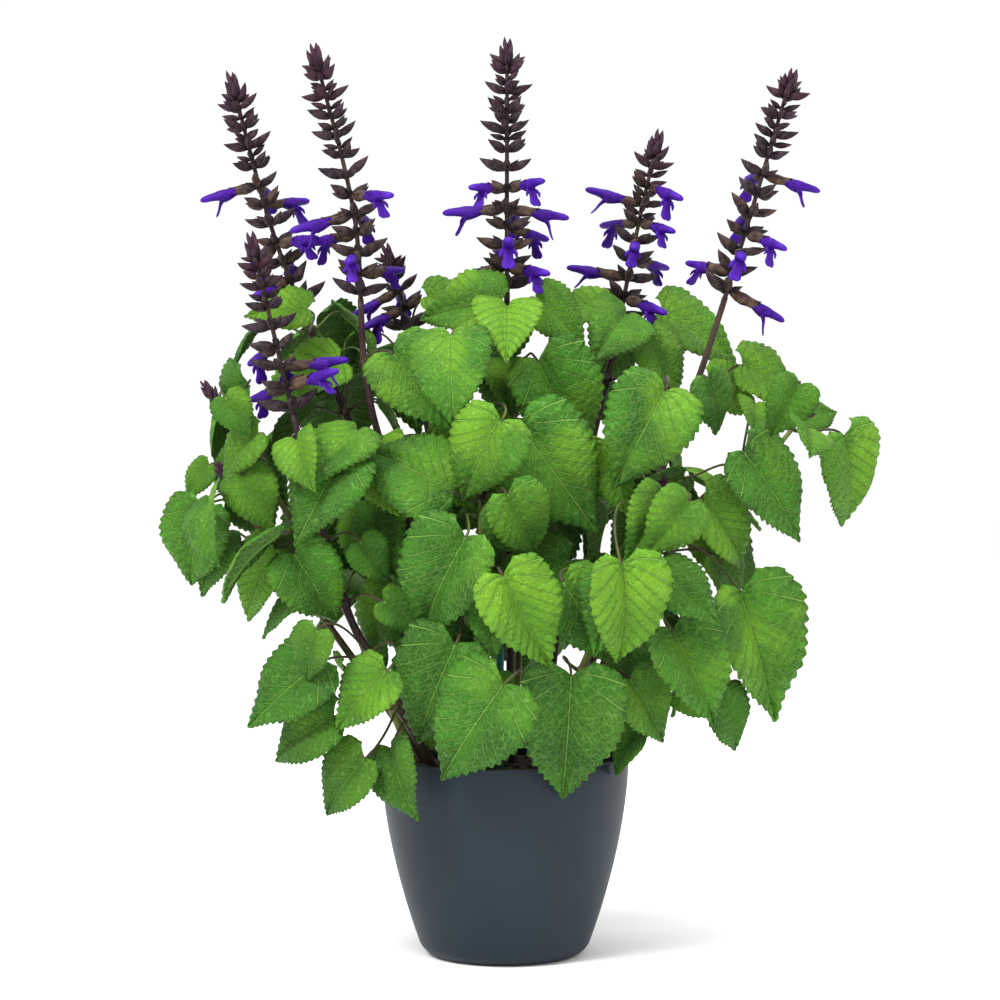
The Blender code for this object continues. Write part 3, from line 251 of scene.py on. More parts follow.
class Leaf:
    """One leaf: its stalk from a face of the stem to the blade, and a bent, folded, heart-shaped blade.

    root is (middle of the face, its outward direction, its upward direction, half height, half width).
    """

    def __init__(self, root, base, chord, length, curl, fold, facing):
        self.root, self.base, self.chord = root, base, chord.normalized()
        self.length, self.curl, self.fold, self.facing = length, curl, fold, facing
        self.width = length * LEAF_WIDTH_SHARE
        self.set_axes()

    def set_axes(self):
        normal = (self.facing - self.chord * self.facing.dot(self.chord)).normalized()
        across = self.chord.cross(normal)
        turn = Matrix.Rotation(-self.curl / 2, 3, across)
        self.run = (turn @ self.chord).normalized()
        self.normal = (turn @ normal).normalized()
        self.across = self.run.cross(self.normal)

    def point(self, u, v, lift=0.0):
        """A place on the blade: u from base (0) to tip (1), v across (-1 to 1), lift off the sheet."""
        bend = self.curl * u
        reach = self.length / self.curl
        spine = self.base + self.run * (reach * math.sin(bend)) - self.normal * (reach * (1 - math.cos(bend)))
        normal = self.normal * math.cos(bend) + self.run * math.sin(bend)
        spread = self.width / 2
        return (spine + self.across * (spread * v * math.cos(self.fold))
                + normal * (spread * abs(v) * math.sin(self.fold) + lift))

    def stalk(self, t):
        """A place on the leaf stalk, from the stem (0) to the blade (1)."""
        a, d = self.root[0], self.base
        reach = (d - a).length
        b = a + self.root[1] * (0.35 * reach) + UP * (0.12 * reach)
        c = d - self.run * (0.30 * reach) - self.normal * (0.10 * reach)
        s = 1 - t
        return a * s ** 3 + b * (3 * s * s * t) + c * (3 * s * t * t) + d * t ** 3

    def moved(self, step, turn, roll, size):
        """The same leaf with its blade moved, turned, rolled round its midrib and made smaller."""
        return Leaf(self.root, self.base + step, turn @ self.chord, self.length * size,
                    self.curl, self.fold, turn @ roll @ self.facing)

    def search(self, dice):
        """Other ways for the leaf to lie: first nearer or farther, then turned and moved more and more."""
        still = Matrix.Identity(3)
        for number in range(DEPTH_TRIES):
            yield self.moved(FRONT * (DEPTH_STEP * (number // 2) * (-1) ** number), still, still, 1)
        for number in range(TURN_TRIES):
            amount = number / TURN_TRIES
            spins = [math.radians(dice.uniform(-MOST_TURN, MOST_TURN)) * amount for _ in range(3)]
            turn = Matrix.Rotation(spins[0], 3, UP) @ Matrix.Rotation(spins[1], 3, self.across)
            roll = Matrix.Rotation(spins[2], 3, self.chord)
            near = MOST_MOVE * amount
            deep = MOST_MOVE * min(1, 3 * amount)
            step = Vector((dice.uniform(-near, near), dice.uniform(-deep, deep), dice.uniform(-near, near)))
            yield self.moved(step, turn, roll, 1 - dice.uniform(0, MOST_SHRINK) * amount)


# The half outline of a blade, base to tip: (place on the midrib, place of the edge, half width there).
BLADE_ROWS = [(0.0, -0.12, 0.42), (0.12, -0.04, 0.86), (0.32, 0.24, 1.0), (0.58, 0.54, 0.78),
              (0.80, 0.80, 0.42)]
STALK_STEPS = [0.30, 0.66, 1.0]


def best_order(ring, target):
    """The order of a ring's four corners that lines up best with another ring."""
    middle, centre = sum(ring, Vector()) / 4, sum(target, Vector()) / 4
    orders = [[(k + i * hand) % 4 for i in range(4)] for k in range(4) for hand in (1, -1)]

    def cost(order):
        return sum(((ring[i] - middle).normalized() - (corner - centre).normalized()).length
                   for i, corner in zip(order, target))
    return min(orders, key=cost)


def stalk_ring(leaf, t, half, side):
    """Four corners round the leaf stalk: a square that faces along it."""
    middle = leaf.stalk(t)
    along = (leaf.stalk(min(t + 0.02, 1)) - leaf.stalk(t - 0.02)).normalized()
    side = (side - along * side.dot(along)).normalized()
    lift = side.cross(along)
    return [middle + side * half * a + lift * half * b for a, b in ((-1, -1), (1, -1), (1, 1), (-1, 1))], side


def root_corners(leaf):
    """The corners of the face that a leaf grows from, a little inside its edges."""
    middle, out, along, high, wide = leaf.root
    side = along.cross(out)
    return [middle + side * wide * a + along * high * b
            for a, b in ((-0.9, -0.9), (0.9, -0.9), (0.9, 0.9), (-0.9, 0.9))]


def leaf_shell(leaf, rooted=False, grow=0.0):
    """Corners and faces of one leaf, from its first stalk ring or its root to its tip; its start is open."""
    half = LEAF_STALK / 2 + grow
    lift = LEAF_THICKNESS / 2 + grow
    rings = []
    side = leaf.across
    for t in reversed(STALK_STEPS):
        ring, side = stalk_ring(leaf, t, half, side)
        rings.insert(0, ring)
    # The last ring is the blade's own start, flat in the blade.
    rings[-1] = [leaf.base + leaf.across * half * a + leaf.normal * lift * b
                 for a, b in ((-1, -1), (1, -1), (1, 1), (-1, 1))]
    if rooted:
        root = root_corners(leaf)
        rings.insert(0, [root[i] for i in best_order(root, rings[0])])
    points = [p for ring in rings for p in ring]
    faces = []
    for k in range(len(rings) - 1):
        for i in range(4):
            j = (i + 1) % 4
            faces.append((4 * k + i, 4 * k + j, 4 * k + 4 + j, 4 * k + 4 + i))
    bottom_left, bottom_right, top_right, top_left = range(len(points) - 4, len(points))
    wider = 1 + 2 * grow / leaf.width
    sheets = {}
    for level, sign in (("top", 1), ("under", -1)):
        rib = []
        for u, _, _ in BLADE_ROWS[1:]:
            rib.append(len(points))
            points.append(leaf.point(u, 0, sign * lift))
        tip = len(points)
        points.append(leaf.point(1 + grow / leaf.length, 0, sign * lift))
        edges = {}
        for hand in (-1, 1):
            edges[hand] = []
            for _, u, v in BLADE_ROWS:
                edges[hand].append(len(points))
                points.append(leaf.point(u * (1 + grow / leaf.length), hand * v * wider, sign * lift))
        sheets[level] = (rib, tip, edges)
        starts = {-1: top_left, 1: top_right} if sign > 0 else {-1: bottom_left, 1: bottom_right}
        faces.append((starts[-1], starts[1], rib[0]))
        for hand in (-1, 1):
            spine = [starts[hand]] + rib
            edge = edges[hand]
            for k in range(len(spine) - 1):
                faces.append((spine[k], spine[k + 1], edge[k + 1], edge[k]))
            faces.append((spine[-1], tip, edge[-1]))
    for hand, start_top, start_under in ((-1, top_left, bottom_left), (1, top_right, bottom_right)):
        upper = [start_top] + sheets["top"][2][hand] + [sheets["top"][1]]
        lower = [start_under] + sheets["under"][2][hand] + [sheets["under"][1]]
        for k in range(len(upper) - 1):
            faces.append((upper[k], upper[k + 1], lower[k + 1], lower[k]))
    return points, faces


# ---------------------------------------------------------------- growing room for the leaves

class Solid:
    """A body that leaves keep clear of."""

    def __init__(self, points, faces):
        self.low = [min(p[i] for p in points) for i in range(3)]
        self.high = [max(p[i] for p in points) for i in range(3)]
        self.faces = faces
        self.tree = BVHTree.FromPolygons(points, faces)

    def meets(self, other):
        if any(self.low[i] > other.high[i] or other.low[i] > self.high[i] for i in range(3)):
            return False
        return bool(self.tree.overlap(other.tree))

    def crosses_itself(self):
        """Whether two faces that share no corner meet."""
        return any(a < b and not set(self.faces[a]) & set(self.faces[b])
                   for a, b in self.tree.overlap(self.tree))


def square_tube(line, half):
    """A closed square tube along a list of places."""
    points, faces = [], []
    for k, place_here in enumerate(line):
        along = (line[min(k + 1, len(line) - 1)] - line[max(k - 1, 0)]).normalized()
        side = along.orthogonal().normalized() if k == 0 else (side - along * side.dot(along)).normalized()
        other = along.cross(side)
        points += [place_here + (side * a + other * b) * half
                   for a, b in ((-1, -1), (1, -1), (1, 1), (-1, 1))]
    for k in range(len(line) - 1):
        faces += [(4 * k + i, 4 * k + (i + 1) % 4, 4 * k + 4 + (i + 1) % 4, 4 * k + 4 + i) for i in range(4)]
    faces += [(3, 2, 1, 0), tuple(range(len(points) - 4, len(points)))]
    return points, faces


def turned(profile, sides=SIDES):
    """A closed body turned about Z from (radius, height) pairs; a radius of 0 closes it in the middle."""
    points, faces, rings = [], [], []
    for radius, height in profile:
        if radius == 0:
            rings.append([len(points)] * sides)
            points.append(Vector((0, 0, height)))
            continue
        rings.append(list(range(len(points), len(points) + sides)))
        for k in range(sides):
            angle = 2 * math.pi * k / sides
            points.append(Vector((radius * math.cos(angle), radius * math.sin(angle), height)))
    for low, high in zip(rings, rings[1:]):
        for k in range(sides):
            corners = [low[k], low[(k + 1) % sides], high[(k + 1) % sides], high[k]]
            faces.append(tuple(dict.fromkeys(corners)))
    return points, faces


def pot_radius(height):
    """The pot's outside, which curves in more and more towards the foot."""
    return POT_RADIUS - (POT_RADIUS - POT_FOOT_RADIUS) * (1 - height / POT_HEIGHT) ** 1.75


def pot_profile():
    """From the middle of the underside, up the outside, over the lip and down to the middle inside."""
    profile = [(0, 0), (pot_radius(0) - POT_CORNER, 0)]
    for degrees in (30, 60):
        angle = math.radians(degrees)
        height = POT_CORNER * (1 - math.cos(angle))
        profile.append((pot_radius(height) - POT_CORNER * (1 - math.sin(angle)), height))
    profile += [(pot_radius(h), h) for h in wall_heights()]
    profile.append((POT_RADIUS - 0.0006, POT_HEIGHT - 0.0004))
    profile.append((POT_RADIUS - POT_WALL / 2, POT_HEIGHT))
    profile.append((POT_RADIUS - POT_WALL + 0.0005, POT_HEIGHT - 0.0006))
    return profile + inside_profile()[::-1]


def wall_heights():
    """Heights of the rings of the pot's side wall, outside and inside alike."""
    return [POT_CORNER + (POT_HEIGHT - 0.002 - POT_CORNER) * k / 6 for k in range(7)]


def inside_profile():
    """The pot's inside, from the middle of its floor up to just below the lip."""
    profile = [(0, POT_WALL), (pot_radius(POT_CORNER) - POT_WALL - 0.006, POT_WALL + 0.001)]
    return profile + [(pot_radius(h) - POT_WALL, h) for h in wall_heights()]


def spike_whorls(spike):
    """The rings of flowers on a spike: (plan height, share of the way up), bottom to top."""
    stem, start, _ = SPIKES[spike]
    top = STEMS[stem][-1][2]
    step = WHORL_PITCH / TALL
    count = int((top - 8 - start) / step)
    return [(start + k * step, k / count) for k in range(count + 1)]


def whorl_faces(spike, number):
    """The four outward directions of a ring, turned an eighth from one ring to the next."""
    height = spike_whorls(spike)[number][0]
    middle, along, side, other, half = stem_frame(SPIKES[spike][0], height)
    turn = Matrix.Rotation(math.radians(45 * (number % 2)), 3, along)
    side, other = turn @ side, turn @ other
    return middle, along, [side, other, -side, -other], half


def open_flowers(spike):
    """(ring, face) for each open flower of a spike, nearest to its height and bearing."""
    heights = [h for h, _ in spike_whorls(spike)]
    found = set()
    for height, bearing in SPIKES[spike][2]:
        number = min(range(len(heights)), key=lambda k: abs(heights[k] - height))
        _, _, outs, _ = whorl_faces(spike, number)
        aim = Vector((math.cos(math.radians(bearing)), math.sin(math.radians(bearing)), 0))
        found.add((number, max(range(4), key=lambda k: outs[k].dot(aim))))
    return found


def flower_aim(out, along, is_open):
    """Which way a bud or a flower points from its face of the spike."""
    return (out + along * (FLOWER_RISE if is_open else BUD_RISE)).normalized()


def standing_solids():
    """What the leaves grow round: pot, stake, spikes and flowers; then the stems; then the leaf joints."""
    soil = [(0, SOIL_TOP - SOIL_DROP), (POT_RADIUS - POT_WALL, SOIL_TOP - SOIL_DROP),
            (POT_RADIUS - POT_WALL, SOIL_TOP), (0, SOIL_TOP + SOIL_MOUND)]
    foot = place(*STAKE_FOOT)
    solids = [Solid(*turned(pot_profile())), Solid(*turned(soil)),
              Solid(*square_tube([foot, foot + UP * STAKE_HEIGHT], STAKE_THICKNESS / 2 + STEM_ROOM))]
    by_stem = {}
    for stem, knots in STEMS.items():
        line = [on_stem(stem, PLAN_SOIL + (knots[-1][2] - PLAN_SOIL) * k / 12) for k in range(13)]
        if stem in SHOOT_TOPS:
            _, along, _, _, _ = stem_frame(stem, knots[-1][2])
            line.append(line[-1] + along * (NODE_HALF + SHOOT_BUD_STALK + SHOOT_BUD_LENGTH))
        by_stem[stem] = Solid(*square_tube(line, STEM_THICKNESS / 2 + STEM_ROOM))
    for spike, (stem, start, _) in SPIKES.items():
        top = STEMS[stem][-1][2]
        line = [on_stem(stem, start + (top - start) * k / 5) for k in range(6)]
        solids.append(Solid(*square_tube(line, SPIKE_ROOM)))
        for number, face in sorted(open_flowers(spike)):
            middle, along, outs, _ = whorl_faces(spike, number)
            reach = CALYX_LENGTH * OPEN_CALYX_SHARE + PETAL_LENGTH
            far = middle + flower_aim(outs[face], along, True) * reach
            solids.append(Solid(*square_tube([middle, far], FLOWER_ROOM)))
    joints = {}
    for name, stem, height, _, _ in LEAF_PAIRS:
        middle, along, _, _, half = stem_frame(stem, height)
        ends = [middle - along * JOINT_HEIGHT / 2, middle + along * JOINT_HEIGHT / 2]
        joints["leaves_" + name] = Solid(*square_tube(ends, half + FIT_GAP + JOINT_WALL + JOINT_ROOM))
    return solids, by_stem, joints


def grow_out(middle, outward, length, stalk, dice):
    """A leaf that simply grows out from a joint: where its blade starts and which way it points."""
    outward = Vector((outward.x, outward.y, 0)).normalized()
    base = middle + outward * stalk + UP * dice.uniform(0.0, 0.35) * stalk
    return base, outward + UP * dice.uniform(-0.9, 0.0), length * LEAF_LENGTH


def upper_side(base, front):
    """Which way a blade's upper side looks: up, outwards and a given share to the front."""
    outward = Vector((base.x, base.y, 0))
    outward = outward.normalized() if outward.length > 0.01 else FRONT
    return (UP * 0.6 + outward * (0.55 - 0.3 * front) + FRONT * front).normalized()


def best_faces(faces, ways):
    """The order of the stem's faces, two opposite and then the other two, that suits the leaves best."""
    orders = []
    for k in range(4):
        for turn in (1, 3):
            orders.append([faces[(k + step) % 4] for step in (0, 2, turn, turn + 2)])
    return max(orders, key=lambda order: sum(face.dot(way.normalized()) for face, way in zip(order, ways)))


def plan_leaves():
    """The leaves as planned, before they make room for one another: (turn, node, hand, stem, leaf)."""
    jobs = [("leaves_" + name, stem, height, (first, second), JOINT_WALL + FIT_GAP)
            for name, stem, height, first, second in LEAF_PAIRS]
    jobs += [(stem, stem, STEMS[stem][-1][2], pair, 0.0) for stem, pair in SHOOT_TOPS.items()]
    waiting = []
    for name, stem, height, pair, wall in jobs:
        dice = random.Random(name)
        middle, along, side, other, half = stem_frame(stem, height)
        specs = []
        for spec in pair + AXIL_LEAVES.get(name, ()):
            if isinstance(spec, tuple):
                base, tip = place(*spec[0]), place(*spec[1])
                specs.append((0, base, tip - base, spec[2] / 105 * LEAF_LENGTH))
            else:
                bearing = Vector((math.cos(math.radians(spec)), math.sin(math.radians(spec)), 0))
                specs.append((1, *grow_out(middle, bearing, dice.uniform(0.78, 0.98),
                                           dice.uniform(0.036, 0.056), dice)))
        aims = best_faces((side, other, -side, -other), [base - middle for _, base, _, _ in specs])
        for aim in aims[len(specs):]:
            specs.append((2, *grow_out(middle, aim, dice.uniform(0.45, 0.8),
                                       dice.uniform(0.018, 0.045), dice)))
        high = JOINT_HEIGHT / 2 if wall else NODE_HALF
        for hand, aim, (turn, base, chord, length) in zip((1, -1, 2, -2), aims, specs):
            root = (middle + aim * (half + wall), aim, along, high, half + wall)
            leaf = Leaf(root, base, chord, length, math.radians(dice.uniform(18, 48)),
                        math.radians(dice.uniform(4, 22)), upper_side(base, 0.75 if turn == 0 else 0.1))
            waiting.append((turn, name, hand, stem, leaf))
    return sorted(waiting, key=lambda job: job[0])


def grow_leaves():
    """Every leaf that finds room, as {node: {hand: leaf}}; one that finds none is left out."""
    solids, stems, joints = standing_solids()
    placed = []
    grown = {}
    for _, name, hand, stem, leaf in plan_leaves():
        for trial in leaf.search(random.Random(name + str(hand))):
            # Near what carries it only the outer part of a leaf keeps its room: the rest meets the joint.
            whole = Solid(*leaf_shell(trial, True, LEAF_ROOM))
            outer = Solid(*leaf_shell(trial, False, LEAF_ROOM))
            if any(whole.meets(solid) for solid in solids):
                continue
            if any((outer if key == name else whole).meets(solid) for key, solid in joints.items()):
                continue
            if any((outer if key == stem else whole).meets(solid) for key, solid in stems.items()):
                continue
            if any(other[1].meets(whole) for other in placed if other[0] != name):
                continue
            bare = Solid(*leaf_shell(trial, True))
            if any(outer.meets(other[2]) or bare.meets(other[3]) for other in placed if other[0] == name):
                continue
            if whole.crosses_itself() or bare.crosses_itself():
                continue
            grown.setdefault(name, {})[hand] = trial
            placed.append((name, whole, outer, bare))
            break
    return grown


# ---------------------------------------------------------------- node helpers

def new_material(name):
    finish = bpy.data.materials.new(name)
    finish.use_nodes = True
    return finish, finish.node_tree


def add_node(tree, kind, **settings):
    """A shader node with its settings; a settings name that starts with in_ sets an input."""
    node = tree.nodes.new(kind)
    for key, value in settings.items():
        if key.startswith("in_"):
            name = key[3:]
            socket = node.inputs[int(name)] if name.isdigit() else node.inputs[name.replace("_", " ")]
            if isinstance(value, bpy.types.NodeSocket):
                tree.links.new(value, socket)
            else:
                socket.default_value = value
        else:
            setattr(node, key, value)
    return node


def math_node(tree, operation, a, b=0.0, clamp=False):
    return add_node(tree, "ShaderNodeMath", operation=operation, use_clamp=clamp, in_0=a, in_1=b).outputs[0]


def span(tree, value, low, high, to_low=0.0, to_high=1.0):
    """A value stretched smoothly from one range onto another."""
    node = add_node(tree, "ShaderNodeMapRange", interpolation_type="SMOOTHSTEP", in_0=value,
                    in_1=low, in_2=high, in_3=to_low, in_4=to_high)
    return node.outputs[0]


def blend_colour(tree, share, first, second):
    node = add_node(tree, "ShaderNodeMix", data_type="RGBA")
    for socket, value in ((node.inputs[0], share), (node.inputs[6], first), (node.inputs[7], second)):
        if isinstance(value, bpy.types.NodeSocket):
            tree.links.new(value, socket)
        elif isinstance(value, tuple):
            socket.default_value = (*value, 1)
        else:
            socket.default_value = value
    return node.outputs[2]


def noise_value(tree, scale, detail=3.0, vector=None, roughness=0.55):
    node = add_node(tree, "ShaderNodeTexNoise", in_Scale=scale, in_Detail=detail, in_Roughness=roughness)
    source = vector or add_node(tree, "ShaderNodeTexCoord").outputs["Object"]
    tree.links.new(source, node.inputs["Vector"])
    return node.outputs["Fac"]


def attribute(tree, name):
    return add_node(tree, "ShaderNodeAttribute", attribute_name=name).outputs["Fac"]


def finish_shader(tree, colour, roughness, height=None, bump=0.5, distance=0.0005, glow=None, gloss=0.25):
    """Feeds colour, roughness and bump into the surface; glow mixes in light that comes through."""
    shader = tree.nodes["Principled BSDF"]
    shader.inputs["Specular IOR Level"].default_value = gloss
    for socket, value in ((shader.inputs["Base Color"], colour), (shader.inputs["Roughness"], roughness)):
        if isinstance(value, bpy.types.NodeSocket):
            tree.links.new(value, socket)
        else:
            socket.default_value = value
    if height is not None:
        relief = add_node(tree, "ShaderNodeBump", in_Strength=bump, in_Distance=distance, in_Height=height)
        tree.links.new(relief.outputs["Normal"], shader.inputs["Normal"])
    if glow is not None:
        share, tint = glow
        through = add_node(tree, "ShaderNodeBsdfTranslucent")
        tree.links.new(tint, through.inputs["Color"])
        mix = add_node(tree, "ShaderNodeMixShader", in_Fac=share)
        tree.links.new(shader.outputs[0], mix.inputs[1])
        tree.links.new(through.outputs[0], mix.inputs[2])
        output = tree.nodes["Material Output"]
        tree.links.new(mix.outputs[0], output.inputs["Surface"])
    return shader


# ---------------------------------------------------------------- finishes

DEEP_GREEN = (0.014, 0.080, 0.004)
LEAF_GREEN = (0.042, 0.190, 0.008)
SPRING_GREEN = (0.165, 0.380, 0.014)
VEIN_GREEN = (0.230, 0.450, 0.070)
UNDER_DARK = (0.026, 0.085, 0.014)
UNDER_GREEN = (0.060, 0.150, 0.030)

# Each stem skin: its dark and its light lines, the green of its patches, and how strong that green gets.
LEAF_STALK_SKIN = (0.026, 0.018, 0.012), (0.060, 0.046, 0.022), (0.085, 0.130, 0.026), 0.75
STEM_SKIN = (0.012, 0.006, 0.008), (0.042, 0.021, 0.024), (0.066, 0.050, 0.022), 0.50
SHOOT_SKIN = (0.036, 0.022, 0.014), (0.085, 0.062, 0.028), (0.130, 0.165, 0.040), 0.85

# The darker and the lighter tone that a cloudy pattern mixes, for each skin.
CALYX_TONES = (0.012, 0.008, 0.012), (0.041, 0.027, 0.035)
OPEN_CALYX_TONES = (0.045, 0.026, 0.022), (0.110, 0.074, 0.040)
PETAL_TONES = (0.026, 0.003, 0.125), (0.056, 0.007, 0.270)
POT_TONES = (0.0080, 0.0155, 0.0225), (0.0105, 0.0195, 0.0275)
SOIL_TONES = (0.012, 0.008, 0.006), (0.060, 0.038, 0.024)
STAKE_TONES = (0.006, 0.075, 0.060), (0.012, 0.130, 0.100)

YOUNG_BLUSH = (0.060, 0.011, 0.030)
LOBE_VIOLET = (0.085, 0.018, 0.430)
POT_GRAIN = (0.030, 0.042, 0.050)
POT_LIP_WEAR = (0.032, 0.042, 0.048)
MOSS_GREEN = (0.075, 0.090, 0.018)
GRIT_GREY = (0.330, 0.300, 0.250)


def blade_marks(tree, side_width, mid_width):
    """Where the side veins and the midrib run, and the fine net between them, each from 0 to 1."""
    blade = add_node(tree, "ShaderNodeUVMap", uv_map="blade").outputs["UV"]
    bent = add_node(tree, "ShaderNodeTexNoise", in_Vector=blade, in_Scale=9.0, in_Detail=2.0)
    shaken = add_node(tree, "ShaderNodeMix", data_type="VECTOR", in_0=0.035, in_4=blade,
                      in_5=bent.outputs["Color"]).outputs[1]
    rib = math_node(tree, "PINGPONG", attribute(tree, "rib"), 0.5)
    side_vein = span(tree, rib, side_width * 0.2, side_width, 1, 0)
    midrib = span(tree, attribute(tree, "across"), mid_width * 0.3, mid_width, 1, 0)
    coarse = add_node(tree, "ShaderNodeTexVoronoi", feature="DISTANCE_TO_EDGE",
                      in_Vector=shaken, in_Scale=24.0)
    fine = add_node(tree, "ShaderNodeTexVoronoi", feature="DISTANCE_TO_EDGE",
                    in_Vector=shaken, in_Scale=58.0)
    net = math_node(tree, "MAXIMUM", span(tree, coarse.outputs["Distance"], 0.0, 0.17, 1, 0),
                    span(tree, fine.outputs["Distance"], 0.0, 0.13, 0.55, 0))
    return math_node(tree, "MAXIMUM", side_vein, midrib), net, rib


def leaf_top_finish():
    """Soft green with sunken veins, painted light patches, painted shade beside the side veins and a fine
    puckered net; whole leaves are painted lighter higher up and further out.
    """
    finish, tree = new_material("leaf_upper_side")
    veins, net, rib = blade_marks(tree, 0.066, 0.010)
    tone = attribute(tree, "tone")
    along = attribute(tree, "along")
    cloud = noise_value(tree, 24.0, 3.0)
    patch = noise_value(tree, 13.0, 2.0)
    colour = blend_colour(tree, span(tree, cloud, 0.30, 0.66), DEEP_GREEN, LEAF_GREEN)
    # Painted light: yellow-green patches, strongest towards the blade's base and on leaves of higher tone.
    lit = math_node(tree, "MULTIPLY", span(tree, patch, 0.44, 0.66), span(tree, along, 0.95, 0.25))
    lit = math_node(tree, "MULTIPLY", lit, math_node(tree, "ADD", tone, 0.25), True)
    colour = blend_colour(tree, lit, colour, SPRING_GREEN)
    # Leaves of high tone turn yellow-green and leaves of low tone deep green: partly their age, partly
    # painted light on high, outer leaves and painted shade on low, inner ones.
    young_and_lit_share = math_node(tree, "MULTIPLY", span(tree, tone, 0.50, 1.0), 0.75)
    colour = blend_colour(tree, young_and_lit_share, colour, SPRING_GREEN)
    old_and_shaded_share = math_node(tree, "MULTIPLY", span(tree, tone, 0.42, 0.05), 0.65)
    colour = blend_colour(tree, old_and_shaded_share, colour, DEEP_GREEN)
    # Painted shade: the blade is darkened either side of each side vein, in the grooves of the quilting,
    # before the veins are lightened.
    painted_vein_shade = math_node(tree, "MULTIPLY", span(tree, rib, 0.0, 0.24, 1, 0), 0.26)
    colour = blend_colour(tree, painted_vein_shade, colour, DEEP_GREEN)
    colour = blend_colour(tree, math_node(tree, "MULTIPLY", net, 0.20), colour, VEIN_GREEN)
    colour = blend_colour(tree, math_node(tree, "MULTIPLY", veins, 0.72), colour, VEIN_GREEN)
    height = math_node(tree, "MULTIPLY", net, -0.38)
    height = math_node(tree, "ADD", height, math_node(tree, "MULTIPLY", veins, -1.0))
    grain = math_node(tree, "MULTIPLY", noise_value(tree, 420.0, 1.0), 0.12)
    height = math_node(tree, "ADD", height, grain)
    shine = span(tree, cloud, 0.3, 0.7, 0.42, 0.56)
    finish_shader(tree, colour, shine, height, 1.0, 0.0016, (0.24, colour), 0.24)
    return finish


def leaf_under_finish():
    """Paler and greyer than the upper side, with raised veins."""
    finish, tree = new_material("leaf_under_side")
    veins, net, _ = blade_marks(tree, 0.085, 0.016)
    colour = blend_colour(tree, span(tree, noise_value(tree, 30.0), 0.3, 0.7), UNDER_DARK, UNDER_GREEN)
    colour = blend_colour(tree, math_node(tree, "MULTIPLY", net, 0.25), colour, VEIN_GREEN)
    colour = blend_colour(tree, math_node(tree, "MULTIPLY", veins, 0.50), colour, VEIN_GREEN)
    height = math_node(tree, "ADD", math_node(tree, "MULTIPLY", net, 0.4),
                       math_node(tree, "MULTIPLY", veins, 0.9))
    rough = span(tree, noise_value(tree, 60.0), 0.3, 0.7, 0.55, 0.7)
    finish_shader(tree, colour, rough, height, 0.7, 0.0009, (0.26, colour))
    return finish


def stem_finish(name, dark, light, green, green_share):
    """Fine lengthwise lines on a dark skin that turns greener in places."""
    finish, tree = new_material(name)
    place_here = add_node(tree, "ShaderNodeTexCoord").outputs["Object"]
    stretched = add_node(tree, "ShaderNodeMapping", in_Vector=place_here,
                         in_Scale=(1.0, 1.0, 0.06)).outputs[0]
    lines = noise_value(tree, 1400.0, 2.0, stretched)
    patches = noise_value(tree, 16.0, 2.0)
    colour = blend_colour(tree, span(tree, lines, 0.35, 0.65), dark, light)
    greened = math_node(tree, "MULTIPLY", span(tree, patches, 0.42, 0.66), green_share)
    colour = blend_colour(tree, greened, colour, green)
    finish_shader(tree, colour, span(tree, lines, 0.3, 0.7, 0.38, 0.55), lines, 0.35, 0.0004, None, 0.15)
    return finish


def calyx_finish():
    """Near-black purple, ribbed; the cups of open flowers fade to olive brown, young tips blush magenta."""
    finish, tree = new_material("calyx_skin")
    ripe = attribute(tree, "ripe")
    blush = attribute(tree, "blush")
    ridge = span(tree, math_node(tree, "PINGPONG", attribute(tree, "around"), 0.5), 0.0, 0.5)
    speck = noise_value(tree, 180.0, 2.0)
    colour = blend_colour(tree, span(tree, speck, 0.3, 0.7), *CALYX_TONES)
    olive = blend_colour(tree, span(tree, speck, 0.3, 0.7), *OPEN_CALYX_TONES)
    faded = math_node(tree, "MULTIPLY", ripe, span(tree, ridge, 0.0, 1.0, 0.95, 0.45))
    colour = blend_colour(tree, faded, colour, olive)
    colour = blend_colour(tree, math_node(tree, "MULTIPLY", blush, 0.6), colour, YOUNG_BLUSH)
    height = math_node(tree, "ADD", ridge, math_node(tree, "MULTIPLY", speck, 0.3))
    finish_shader(tree, colour, span(tree, speck, 0.3, 0.7, 0.5, 0.7), height, 0.6, 0.0004, None, 0.10)
    return finish


def petal_finish():
    """Velvety violet, bluer and lighter towards the lobes, with fine streaks."""
    finish, tree = new_material("petal_velvet")
    reach = attribute(tree, "reach")
    cloud = noise_value(tree, 220.0, 3.0)
    colour = blend_colour(tree, span(tree, cloud, 0.3, 0.7), *PETAL_TONES)
    lobes = math_node(tree, "MULTIPLY", span(tree, reach, 0.5, 1.0), 0.45)
    colour = blend_colour(tree, lobes, colour, LOBE_VIOLET)
    rough = span(tree, cloud, 0.3, 0.7, 0.45, 0.6)
    finish_shader(tree, colour, rough, cloud, 0.3, 0.0005, (0.18, colour), 0.12)
    return finish


def pot_finish():
    """Matt slate plastic with a fine even grain and faint wear at the lip."""
    finish, tree = new_material("pot_plastic")
    grain = noise_value(tree, 2600.0, 2.0)
    cloud = noise_value(tree, 9.0, 4.0)
    place_here = add_node(tree, "ShaderNodeTexCoord").outputs["Object"]
    high = add_node(tree, "ShaderNodeSeparateXYZ", in_0=place_here).outputs[2]
    colour = blend_colour(tree, span(tree, cloud, 0.3, 0.7), *POT_TONES)
    colour = blend_colour(tree, span(tree, grain, 0.60, 0.78, 0, 0.25), colour, POT_GRAIN)
    lip = span(tree, high, POT_HEIGHT - 0.004, POT_HEIGHT, 0, 0.35)
    colour = blend_colour(tree, lip, colour, POT_LIP_WEAR)
    rough = math_node(tree, "ADD", span(tree, cloud, 0.3, 0.7, 0.40, 0.46),
                      math_node(tree, "MULTIPLY", grain, 0.10))
    finish_shader(tree, colour, rough, grain, 0.25, 0.0002, None, 0.18)
    return finish


